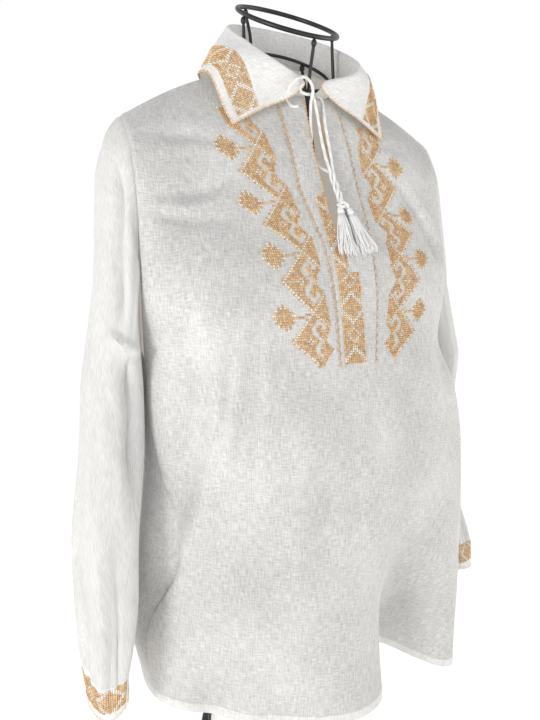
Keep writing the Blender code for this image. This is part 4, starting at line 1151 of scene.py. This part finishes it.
# %% Sleeves
cuff_rings = {}
for side, column, sign in (("right", 0, -1), ("left", COLUMNS, 1)):
    rows, rings = sleeve_rows(side, column, sign)
    rows = sleeve_marks(rows, side, sign)
    n = outward(normals(rows, True), len(rows) // 2, SLEEVE_COLUMNS // 2, [sign, 0, 0])
    down = lengths(rows, 0)
    high = felled(down, 0.004, 0.0025, 0.0005, 0.0014)
    piece = cloth("gauze_sleeve_" + side, rows, n, GAUZE_OUT + high, closed=True, finish=GAUZE_SLEEVE_PAINTED_LIGHT)
    finish_cloth(piece, "sleeve_" + side)
    cuff_rings[side] = (rows[-1], rings[-1], sign)

# %% [markdown]
# Cuffs. A cuff is a doubled band, so it is thicker than the sleeve and its edges
# are round. It is left open by a narrow gap at the inner front, where it closes
# round the wrist.

# %% Cuffs
CUFF_OPENING = 0.0012
CUFF_OUT = 0.0014         # the outer skin stands off this far
CUFF_FIRST = 15           # column of the opening, of the sleeve's hundred
cuff_grids = {}
for side, (top_ring, foot_ring, sign) in cuff_rings.items():
    order = [(c + CUFF_FIRST) % SLEEVE_COLUMNS for c in range(SLEEVE_COLUMNS)] + [CUFF_FIRST]
    lines = []
    for u in (0.0, 0.02, 0.05, 0.12, 0.22, 0.33, 0.44, 0.55, 0.66, 0.77, 0.87, 0.94, 0.98, 1.0):
        ease = (top_ring * (1 - u) + foot_ring * u) + (top_ring - foot_ring) * 0.02 * math.sin(math.pi * u)
        lines.append(ease[order])
    grid = np.array(lines)
    along = unit(grid[:, 1] - grid[:, 0])
    grid[:, 0] = grid[:, 0] + along * CUFF_OPENING
    along = unit(grid[:, -2] - grid[:, -1])
    grid[:, -1] = grid[:, -1] + along * CUFF_OPENING
    n = outward(normals(grid), 5, 35, [0, -1, 0])
    smooth = n.copy()
    for c in range(1, n.shape[1] - 1):
        smooth[:, c] = unit(n[:, c - 1] + 2 * n[:, c] + n[:, c + 1])
    round_edge = np.ones(len(grid))
    round_edge[[0, -1]] = 0.72
    piece = cloth("gauze_cuff_" + side, grid, smooth, CUFF_OUT * round_edge[:, None], 0.0,
                  finish=GAUZE_DOUBLE)
    finish_cloth(piece, "cuff_" + side)
    cuff_grids[side] = (grid, smooth)

# %% [markdown]
# The placket is a strip laid on the front to face the slit. It keeps to the zigzag
# stitching on its two outer edges, so each half runs from the slit to a line of
# places read down the front.

# %% Placket
PLACKET_FOOT = 0.470
PLACKET_UNDER = 0.0018
PLACKET_OVER = 0.0029
# The outer edge of each half: x, z
NEAR_EDGE = ((-0.0395, 0.752), (-0.0389, 0.739), (-0.0380, 0.696), (-0.0372, 0.654), (-0.0304, 0.628),
             (-0.0235, 0.599), (-0.0195, 0.560), (-0.0190, 0.536), (-0.0190, 0.470))
FAR_EDGE = ((0.0395, 0.752), (0.0395, 0.739), (0.0395, 0.713), (0.0395, 0.685), (0.0395, 0.652),
            (0.0400, 0.630), (0.0390, 0.603), (0.0360, 0.540), (0.0265, 0.470))


def edge_x(line, z):
    line = np.array(line)[::-1]
    return float(np.interp(z, line[:, 1], line[:, 0]))


def on_grid(row, row_n, x):
    """A point of a split front row at a distance x, with its normal."""
    half = slice(0, MID + 1) if x < 0 else slice(MID + 1, None)
    xs = row[half, 0]
    return (np.array([np.interp(x, xs, row[half, i]) for i in range(3)]),
            unit(np.array([np.interp(x, xs, row_n[half, i]) for i in range(3)])))


placket_rows = [r for r in range(len(split) - 1) if split[r, MID, 2] > PLACKET_FOOT]
STRIP = 12                # steps across each half
strip_points, strip_ways = [], []
for r in placket_rows:
    z = split[r, MID, 2]
    h = slit_half(z, SLIT_FOOT) if r > slit_row else 0.0
    near, far = edge_x(NEAR_EDGE, z), edge_x(FAR_EDGE, z)
    xs = [near + (-h - near) * i / STRIP for i in range(STRIP + 1)]
    xs += [h + (far - h) * i / STRIP for i in range(STRIP + 1)]
    xs[STRIP] = min(xs[STRIP], -1e-6)
    xs[STRIP + 1] = max(xs[STRIP + 1], 0.0)
    pairs = [on_grid(split[r], split_n[r], x) for x in xs]
    strip_points.append([p for p, _ in pairs])
    strip_ways.append([w for _, w in pairs])
strip_points, strip_ways = np.array(strip_points), np.array(strip_ways)
strip_ids = np.arange(strip_points.shape[0] * strip_points.shape[1]).reshape(strip_points.shape[:2])
for i, r in enumerate(placket_rows):
    if r <= slit_row:
        strip_ids[i, STRIP + 1] = strip_ids[i, STRIP]
strip_high = np.full(strip_points.shape[:2], PLACKET_OVER)
strip_high[:, (0, -1)] = PLACKET_UNDER + 0.0003
placket_cloth = cloth("gauze_placket", strip_points, strip_ways, strip_high, PLACKET_UNDER,
                      ids=strip_ids, skip=STRIP, origin=(0.31, 0.07))
finish_cloth(placket_cloth, "placket")

# %% [markdown]
# The collar is one band whose leaf folds over. It stands up from the neck seam,
# turns over the roll line and falls on the shoulders. Its curve is laid down
# coarsely first and lifted until it clears the cloth below; then it is sampled
# finer in both directions.

# %% Collar lines
COLLAR_FOLD = (
    (0.016, -0.032, 0.772), (0.048, -0.038, 0.782), (0.070, -0.022, 0.802),
    (0.069, 0.020, 0.826), (0.046, 0.052, 0.842), (0.000, 0.066, 0.848),
)
COLLAR_EDGE = (
    (0.0990, -0.0345, 0.7150), (0.1040, -0.0250, 0.7320), (0.1090, -0.0060, 0.7700),
    (0.1020, 0.0340, 0.7790), (0.0680, 0.0740, 0.7780), (0.0000, 0.0900, 0.7800),
)
COARSE = COLUMNS // 28    # fine columns to one of the frame's
NECK_STEPS = 4            # the frame's columns from the middle to the neck point
ROLL_DROP, ROLL_IN, ROLL_MIDDLE, ROLL_OUT = 0.0030, 0.0005, 0.0022, 0.0052    # round the fold
LEAF_SWELL = 0.003
CLEARANCE = 0.0012        # from the leaf to the cloth below
COLLAR_OUT, COLLAR_RIM = 0.0013, 0.0009      # outer skin, and its turned edge


def half_curve(table, count):
    fine = np.array([glide(table, w) for w in np.linspace(0, len(table) - 1, 12 * (len(table) - 1) + 1)])
    whole = np.concatenate([fine, fine[::-1][1:] * [-1, 1, 1]])[::-1]
    length = run_of(whole)
    return np.array([spot(a, length, whole) for a in np.linspace(0, length[-1], count)])


def neck_spots(grid, n, columns):
    """Points on the cloth's outer face along a panel's top row."""
    return [grid[-1, MID + COARSE * c] + n[-1, MID + COARSE * c] * CLOTH for c in columns]


edge_mid = neck_spots(front, front_n, (0,))[0]
edge_gap = np.array([slit_half(front[-1, MID, 2], SLIT_FOOT), 0, 0])
neck_line = np.array([edge_mid - edge_gap,
                      *neck_spots(front, front_n, range(-1, -NECK_STEPS, -1)),
                      *neck_spots(back, back_n, range(-NECK_STEPS, NECK_STEPS + 1)),
                      *neck_spots(front, front_n, range(NECK_STEPS - 1, 0, -1)),
                      edge_mid + edge_gap])
COUNT = 2 * (len(neck_line) - 1) + 1
foot_line = np.array([(neck_line[i // 2] + neck_line[(i + 1) // 2]) / 2 for i in range(COUNT)])
foot_line = foot_line + [0, 0, 0.0006]
fold_line, leaf_edge = half_curve(COLLAR_FOLD, COUNT), half_curve(COLLAR_EDGE, COUNT)
lines = []
for i in range(COUNT):
    f, a, b = fold_line[i], foot_line[i], leaf_edge[i]
    along = fold_line[min(i + 1, COUNT - 1)] - fold_line[max(i - 1, 0)]
    away = unit(np.array([-along[1], along[0], 0]))
    if np.dot(away, f - [0, 0.016, 0.8]) < 0:
        away = -away
    inside = f - [0, 0, ROLL_DROP] - away * ROLL_IN
    over = f - [0, 0, ROLL_DROP] + away * ROLL_OUT
    swell = away * LEAF_SWELL + [0, 0, LEAF_SWELL]
    lines.append([a, a * 0.5 + inside * 0.5, inside, f + away * ROLL_MIDDLE, over,
                  over * 0.66 + b * 0.34 + swell, over * 0.33 + b * 0.67 + swell * 0.8, b])
collar = np.array(lines)
# The front edge of each leaf runs down beside the slit before it turns outward.
LEAF_FRONT = {4: (0.0030, 0.0040, -0.0060), 5: (0.0100, 0.0030, -0.0060), 6: (0.0070, 0.0020, -0.0010)}
for j, (dx, dy, dz) in LEAF_FRONT.items():
    for i, share in enumerate((1.0, 0.62, 0.28, 0.08)):
        collar[i, j] += np.array([dx, dy, dz]) * share
        collar[-1 - i, j] += np.array([-dx, dy, dz]) * share
under = [TREES[name] for name in ("tunic_front", "tunic_back", "placket")]

# %% Lifting the collar clear
def shortage(p, way, least):
    """How far a collar point must move along way to stand clear."""
    p = Vector(p - SHIFT)
    most = 0.0
    for tree in under:
        hit, n, _, distance = tree.find_nearest(p, 0.015)
        if hit is not None:
            if distance < 0.004 and (p - hit).dot(n) < -0.3 * distance:
                distance = -distance
            most = max(most, (least - distance) / max(0.6, n.dot(Vector(way))))
    return most


def facing(p):
    return np.array(min((tree.find_nearest(Vector(p - SHIFT)) for tree in under), key=lambda h: h[3])[1])


faced = [facing(collar[i, 6]) for i in range(COUNT)]
ways = [unit(sum(faced[max(0, i - 2):i + 3])) for i in range(COUNT)]
for _ in range(3):
    need = np.zeros(COUNT)
    for i in range(COUNT):
        for j in range(4, 8):
            for k in (0.0, 0.33, 0.67):
                for m in (0.0, 0.5):
                    i2, j2 = min(i + 1, COUNT - 1), min(j + 1, 7)
                    p = (collar[i, j] * (1 - k) + collar[i2, j] * k) * (1 - m)
                    p = p + (collar[i, j2] * (1 - k) + collar[i2, j2] * k) * m
                    short = shortage(p, ways[i], CLEARANCE)
                    need[i] = max(need[i], short)
                    if k:
                        need[i2] = max(need[i2], short)
    wide = np.concatenate([need[:1], need[:1], need, need[-1:], need[-1:]])
    need = np.maximum(need, np.maximum(0.7 * wide[1:-3], 0.7 * wide[3:-1]))
    need = np.maximum(need, np.maximum(0.4 * wide[:-4], 0.4 * wide[4:]))
    for i in range(COUNT):
        collar[i, 4:] += ways[i] * need[i]
        collar[i, 3] += ways[i] * need[i] * 0.5
print("collar lifted by up to", round(max(need) * 1000, 1), "mm in the last round")

# %% Collar
ALONG, ACROSS = 6, 7      # finer steps along the collar and across it
fine = np.array([glide(collar, w) for w in np.linspace(0, COUNT - 1, ALONG * (COUNT - 1) + 1)])
fine = fine.transpose(1, 0, 2)
collar_grid = np.array([glide(fine, w) for w in np.linspace(0, 7, ACROSS * 7 + 1)])
collar_n = outward(normals(collar_grid), 6 * ACROSS, collar_grid.shape[1] // 2, [0, 1, 0])
collar_high = np.full(collar_grid.shape[:2], COLLAR_OUT)
collar_high[(0, -1), :] = COLLAR_RIM
collar_high[:, (0, -1)] = COLLAR_RIM
collar_cloth = cloth("gauze_collar", collar_grid, collar_n, collar_high, 0.0001, finish=GAUZE_DOUBLE)
finish_cloth(collar_cloth, "collar")

# %% [markdown]
# The embroidery is cross stitch in a thick soft yarn. Each cross is two short
# legs laid one over the other. A leg is a small closed spindle with sixteen
# triangles, thick at the middle and sunk into the cloth at both ends, so that
# thousands of them stay light. A lattice of corners is laid on the cloth first,
# and a chart says which of its cells hold a stitch and in which of two threads.

# %% Legs and crosses
LEG_WIDE, LEG_HIGH = 0.00076, 0.00036       # half sizes of a leg at its middle
LEG_FACES = ((0, 2, 1), (0, 3, 2), (0, 4, 3), (0, 1, 4), (1, 2, 6, 5), (2, 3, 7, 6), (3, 4, 8, 7),
             (4, 1, 5, 8), (9, 5, 6), (9, 6, 7), (9, 7, 8), (9, 8, 5))
dice = np.random.default_rng(41)


def legs_mesh(name, a, b, n, lift, tone, pale, wide=LEG_WIDE, high=LEG_HIGH):
    """One closed spindle from each a to its b; n is the cloth's normal there."""
    a, b, n = (np.asarray(v, float) for v in (a, b, n))
    count = len(a)
    side = unit(np.cross(b - a, n)) * wide * dice.uniform(0.85, 1.12, (count, 1))
    up = n * high
    lift = np.asarray(lift, float).reshape(-1, 1)
    points = np.empty((count, 10, 3))
    points[:, 0] = a - n * 0.00015
    points[:, 9] = b - n * 0.00015
    for first, k in ((1, 0.27), (5, 0.73)):
        centre = a + (b - a) * k + n * lift + side * dice.uniform(-0.12, 0.12, (count, 1))
        for i, (s, u) in enumerate(((1, 0), (0, 1), (-1, 0), (0, -1))):
            points[:, first + i] = centre + side * s + up * u
    points -= SHIFT
    faces = [tuple(i + 10 * k for i in face) for k in range(count) for face in LEG_FACES]
    index = np.repeat(np.asarray(pale, int), len(LEG_FACES))
    thread_piece(name, points.reshape(-1, 3).tolist(), faces, np.repeat(np.asarray(tone, float), 10),
                 (TAN, PALE), index, "white_gauze")
    print(name, "legs", count, "triangles", count * 16)


def cross_stitch(name, lattice, way, cells):
    """Crosses in the cells of a lattice; cells are (row, column, thread)."""
    a, b, n, lift, tone, pale = [], [], [], [], [], []
    for r, c, kind in cells:
        corner = [lattice[r, c], lattice[r + 1, c + 1], lattice[r + 1, c], lattice[r, c + 1]]
        if np.isnan(corner).any():
            continue
        centre = sum(corner) / 4
        jog = dice.normal(0, 0.00007, (4, 3))
        corner = [centre + (p - centre) * 0.94 + j for p, j in zip(corner, jog)]
        own_n = unit(way[r, c] + way[r + 1, c + 1])
        shade = dice.uniform(0.1, 0.9)
        a += [corner[0], corner[2]]
        b += [corner[1], corner[3]]
        n += [own_n, own_n]
        lift += [0.00022, 0.00062]
        # The lower leg's tone is 0.18 darker than the upper one's: painted shade where the upper leg lies
        # over it.
        tone += [max(0.0, shade - 0.18), shade]
        pale += [kind == "w", kind == "w"]
    legs_mesh(name, a, b, n, lift, tone, pale)

# %% Lattices on the front
def skin_tree(*objects):
    made = bpy.context.evaluated_depsgraph_get()
    return [BVHTree.FromObject(obj, made) for obj in objects]


def cast(trees, x, z):
    """The outermost cloth met from the front at a place, with its normal."""
    found = [t.ray_cast(Vector((x - SHIFT[0], -0.5, z)), Vector((0, 1, 0)), 0.52) for t in trees]
    found = [h for h in found if h[0] is not None]
    if not found:
        return None
    hit = min(found, key=lambda h: h[3])
    return np.array(hit[0]) + SHIFT, np.array(hit[1])


def front_lattice(trees, axis, rows, first, last, pitch, reach=(-1, 1), parted=None):
    """Corners along level lines across the front, counted from an axis of (x, z) by row.

    parted gives how far the cloth has moved aside at a height.
    """
    lattice = np.full((rows + 1, last - first + 1, 3), np.nan)
    way = np.zeros_like(lattice)
    way[..., 1] = -1
    for r in range(rows + 1):
        x0, z = axis(r)
        xs = np.arange(x0 - 0.058, x0 + 0.058, 0.0012)
        xs = xs[(xs > reach[0]) & (xs < reach[1])]
        hits = [cast(trees, x, z) for x in xs]
        keep = [i for i, h in enumerate(hits) if h is not None]
        line = np.array([hits[i][0] for i in keep])
        line_n = np.array([hits[i][1] for i in keep])
        run = run_of(line)
        zero = np.interp(x0, line[:, 0], run)
        for c in range(first, last + 1):
            at = zero + (c - 0.5) * pitch - (parted(z) if parted else 0.0)
            if run[0] <= at <= run[-1]:
                lattice[r, c - first] = spot(at, run, line)
                way[r, c - first] = unit(spot(at, run, line_n))
    return lattice, way


def axis_through(keys, start):
    """Axis place by row, through one key to each 24 rows."""
    keys = np.array(keys)
    return lambda r: glide(keys, min(max((r + start) / 24, 0), len(keys) - 1 - 1e-6))

# %% [markdown]
# The two side bands are traditional ram's horns: pairs of horns in a lozenge that
# crosses itself every 24 rows, with a small toothed square beside each crossing.
# The chart is half of one unit, from a crossing to its middle; the other half is
# its mirror. A dot is bare cloth, t is the tan thread and w the pale one.

# %% Ram's horn chart
HORN_CHART = (
    "..............wttttttt",
    "............twtwtttttt",
    "............wtttwttttt",
    "..........twtttttwtttt",
    "..........wtttt..twttt",
    "........twtttt....twtt",
    "........wtttt..tt..twt",
    "......twtttt..ttt..tt.",
    "......wttttt..ttttttt.",
    "....twtttttt...ttttt..",
    "....wtttttttt..tttt...",
    "..twttttttwttt..ttt...",
    ".twttttttwtwttt..t....",
)
HORN_OUT = -14                      # the chart's first column, counted outward
SQUARE_AT = (-14, 2)                # column and row of a square from its crossing
BAND_PITCH = 0.00245


def horn_cells(units, first_row):
    """Cells of a band: units of 24 rows, the last one closing to a tip."""
    cells = {}
    for u in range(units):
        for r in range(24):
            line = HORN_CHART[r if r <= 12 else 24 - r]
            for i, kind in enumerate(line):
                c = HORN_OUT + i
                if u == 0 and c < -8:
                    continue
                edge = 6.4 - 7.8 * (r - 15.6) / 8.2
                if u == units - 1 and r >= 16 and c > edge - 2.4:
                    kind = "." if c > edge else "t"
                if kind != ".":
                    cells[(24 * u + r, c)] = kind
        for c in range(-5, 6 if u else -5):
            for r in range(-5, 6):
                d = abs(c) + abs(r)
                tooth = r % 2 == 0 if abs(c) > abs(r) else c % 2 == 0
                kind = "t" if d <= 4 or tooth else "w"
                if d <= 6:
                    cells[(24 * u + r + SQUARE_AT[1], c + SQUARE_AT[0])] = kind
        for c, r in ((-8, 2), (-7, 2), (-6, 2), (-5, 2), (-4, 1), (-3, 1)):
            cells.setdefault((24 * u + r, c), "t")
    return {(r - first_row, c): kind for (r, c), kind in cells.items() if r >= first_row}

# %% Side bands
BAND_AXES = {
    # x and z of each crossing, from the one under the collar to the tip
    "near": ((-0.095, 0.755), (-0.081, 0.699), (-0.067, 0.644), (-0.053, 0.593), (-0.048, 0.532),
             (-0.039, 0.4743)),
    "far": ((0.078, 0.750), (0.072, 0.692), (0.071, 0.636), (0.083, 0.5885), (0.071, 0.531), (0.054, 0.476)),
}
FIRST_ROW = 8
front_tree = skin_tree(front_cloth)
for side, keys in BAND_AXES.items():
    out = 1 if side == "near" else -1
    cells = horn_cells(5, FIRST_ROW)
    high = max(r for r, _ in cells) + 2
    columns = [out * c for _, c in cells]
    first, last = min(columns) - 1, max(columns) + 2
    lattice, way = front_lattice(front_tree, axis_through(keys, FIRST_ROW), high, first, last, BAND_PITCH)
    placed = [(r, out * c - first, kind) for (r, c), kind in cells.items()]
    cross_stitch("stitches_band_" + side, lattice, way, placed)

# %% [markdown]
# The middle band, the collar and the cuffs share one narrow pattern, eleven
# stitches wide: large solid lozenges and small outlined ones take turns between
# pale double lines, on a ground of the tan thread.

# %% Lozenge bands
def lozenge(c, r):
    """Thread of a cell; r counts from the middle of a small lozenge."""
    c = abs(c)
    r = abs((r + 12) % 24 - 12)
    return "w" if c + r == 3 or c + 12 - r in (6, 7) else "t"


MIDDLE_PITCH, MIDDLE_ROW = 0.00262, 0.00236         # across the band, along it
MIDDLE_FOOT, MIDDLE_TOP = 0.4755, 0.652
middle_trees = skin_tree(front_cloth, placket_cloth)
middle_rows = int((MIDDLE_TOP - MIDDLE_FOOT) / MIDDLE_ROW)


def middle_axis(r):
    return (0.0, MIDDLE_FOOT + r * MIDDLE_ROW)


def slit_parted(z):
    if z <= SLIT_FOOT:
        return 0.0
    return slit_half(z, SLIT_FOOT) + 0.0010 - MIDDLE_PITCH * 0.5 * ramp(z, SLIT_FOOT, SLIT_FOOT + 0.02)


lattice, way = front_lattice(middle_trees, middle_axis, middle_rows, -6, 6, MIDDLE_PITCH,
                             reach=(-0.0385, 0.03), parted=slit_parted)
cells = []
for r in range(middle_rows):
    z = middle_axis(r)[1]
    for c in range(-5, 6):
        if z < SLIT_FOOT - 0.004 or c < 0:
            cells.append((r, c + 6, lozenge(c, 12 + r)))
cross_stitch("stitches_middle", lattice, way, cells)

# %% [markdown]
# On the collar and the cuffs the band follows the piece, so its lattice is laid by
# length on the piece's own grid: so far in from the edge, so far along the band.

# %% Bands on the collar and cuffs
def strip_lattice(grid, n, outer, rows_at, columns_at):
    """Corners at lengths along a grid's columns and in from its last row."""
    skin = grid + n * np.broadcast_to(outer, grid.shape[:2])[..., None]
    inward = lengths(skin[::-1], 0)
    middle = 0.5 * (columns_at[0] + columns_at[-1])
    skin_in, n_in = skin[::-1], n[::-1]
    count = grid.shape[1]

    def line_at(depth):
        line, ways_here = np.empty((count, 3)), np.empty((count, 3))
        for i in range(count):
            for k in range(3):
                line[i, k] = np.interp(depth, inward[:, i], skin_in[:, i, k])
                ways_here[i, k] = np.interp(depth, inward[:, i], n_in[:, i, k])
        return line, ways_here

    centre, _ = line_at(middle)
    run = run_of(centre)
    at = np.interp(rows_at, run, np.arange(count))
    lattice = np.empty((len(rows_at), len(columns_at), 3))
    way = np.empty_like(lattice)
    for j, depth in enumerate(columns_at):
        line, ways_here = line_at(depth)
        for k in range(3):
            lattice[:, j, k] = np.interp(at, np.arange(count), line[:, k])
            way[:, j, k] = np.interp(at, np.arange(count), ways_here[:, k])
    return lattice, unit(way), run


COLLAR_MARGIN, COLLAR_PITCH, COLLAR_ROW = 0.0090, 0.0025, 0.00246
collar_columns = COLLAR_MARGIN + COLLAR_PITCH * np.arange(12)
_, _, collar_run = strip_lattice(collar_grid, collar_n, collar_high, np.zeros(2), collar_columns)
half_rows = int((collar_run[-1] / 2 - 0.0032) / COLLAR_ROW)
rows_at = collar_run[-1] / 2 + COLLAR_ROW * np.arange(-half_rows, half_rows + 1)
lattice, way, _ = strip_lattice(collar_grid, collar_n, collar_high, rows_at, collar_columns)
cells = []
for r in range(2 * half_rows):
    from_end = min(r, 2 * half_rows - 1 - r)
    for c in range(11):
        cells.append((r, c, lozenge(c - 5, from_end - 5 + 12)))
cross_stitch("stitches_collar", lattice, way, cells)

CUFF_MARGIN, CUFF_PITCH, CUFF_ROW = 0.0085, 0.00245, 0.00242
for side, (grid, n) in cuff_grids.items():
    columns_at = CUFF_MARGIN + CUFF_PITCH * np.arange(12)
    _, _, run = strip_lattice(grid, n, CUFF_OUT, np.zeros(2), columns_at)
    rows = int((run[-1] - 0.008) / CUFF_ROW)
    rows_at = run[-1] / 2 + CUFF_ROW * (np.arange(rows + 1) - rows / 2)
    lattice, way, _ = strip_lattice(grid, n, CUFF_OUT, rows_at, columns_at)
    cells = [(r, c, lozenge(c - 5, r + 4)) for r in range(rows) for c in range(11)]
    cross_stitch("stitches_cuff_" + side, lattice, way, cells)

# %% [markdown]
# Fine tan lines finish the edges. Zigzag holds the placket down on both sides, and
# a row of tiny close loops, a picot, runs along every free edge of the collar and
# along the slit.

# %% Zigzag and picot
def threads_along(name, sets, wide, high):
    """Short straight threads: a list of (start, end, normal, lift)."""
    a, b, n, lift = (np.array([s[i] for s in sets]) for i in range(4))
    tone = dice.uniform(0.1, 0.8, len(sets))
    legs_mesh(name, a, b, n, lift, tone, np.zeros(len(sets), int), wide, high)


ZIG_FOOT, ZIG_CLOSER, ZIG_TOP = 0.4735, 0.60, 0.744      # heights
zigs = []
for line, sign in ((NEAR_EDGE, -1), (FAR_EDGE, 1)):
    z = ZIG_FOOT
    turns = []
    while z < ZIG_TOP:
        step, half = (0.0044, 0.0022) if z < ZIG_CLOSER else (0.0036, 0.0028)
        out = half if len(turns) % 2 else -half
        turns.append(cast(middle_trees, edge_x(line, z) + sign * 0.0012 + out, z))
        z += step
    for p, q in zip(turns, turns[1:]):
        if p is not None and q is not None:
            reach = unit(q[0] - p[0]) * 0.0004
            zigs.append((p[0] - reach, q[0] + reach, unit(p[1] + q[1]), 0.0004))
threads_along("stitches_zigzag", zigs, 0.00056, 0.00036)


def picot(points, ways_here, pitch=0.0024):
    """Tiny threads laid across an edge, every pitch along it; ways point off the edge."""
    run = run_of(points)
    made = []
    for at in np.arange(pitch / 2, run[-1], pitch):
        p = spot(at, run, points)
        w = unit(spot(at, run, ways_here))
        along = unit(spot(at + 1e-4, run, points) - p)
        slant = along * 0.0008 * (1 if len(made) % 2 else -1)
        made.append((p - w * 0.0024 - slant, p + w * 0.0013 + slant, unit(np.cross(along, w)), 0.0001))
    return made


edging = []
skin = collar_grid + collar_n * 0.0007
for line, back_line in ((skin[-1], skin[-3]), (skin[14:, 0], skin[14:, 2]), (skin[14:, -1], skin[14:, -3])):
    edging += picot(line, unit(line - back_line))
open_rows = [i for i, r in enumerate(placket_rows) if r >= slit_row]
strip_skin = strip_points + strip_ways * PLACKET_OVER
for c, step in ((STRIP, -1), (STRIP + 1, 1)):
    line = strip_skin[open_rows, c]
    edging += picot(line, unit(line - strip_skin[open_rows, c + step]))
for side, (grid, n) in cuff_grids.items():
    skin = grid + n * 0.0008
    edging += picot(skin[-1], unit(skin[-1] - skin[-3]))
threads_along("stitches_picot", edging, 0.0007, 0.0010)
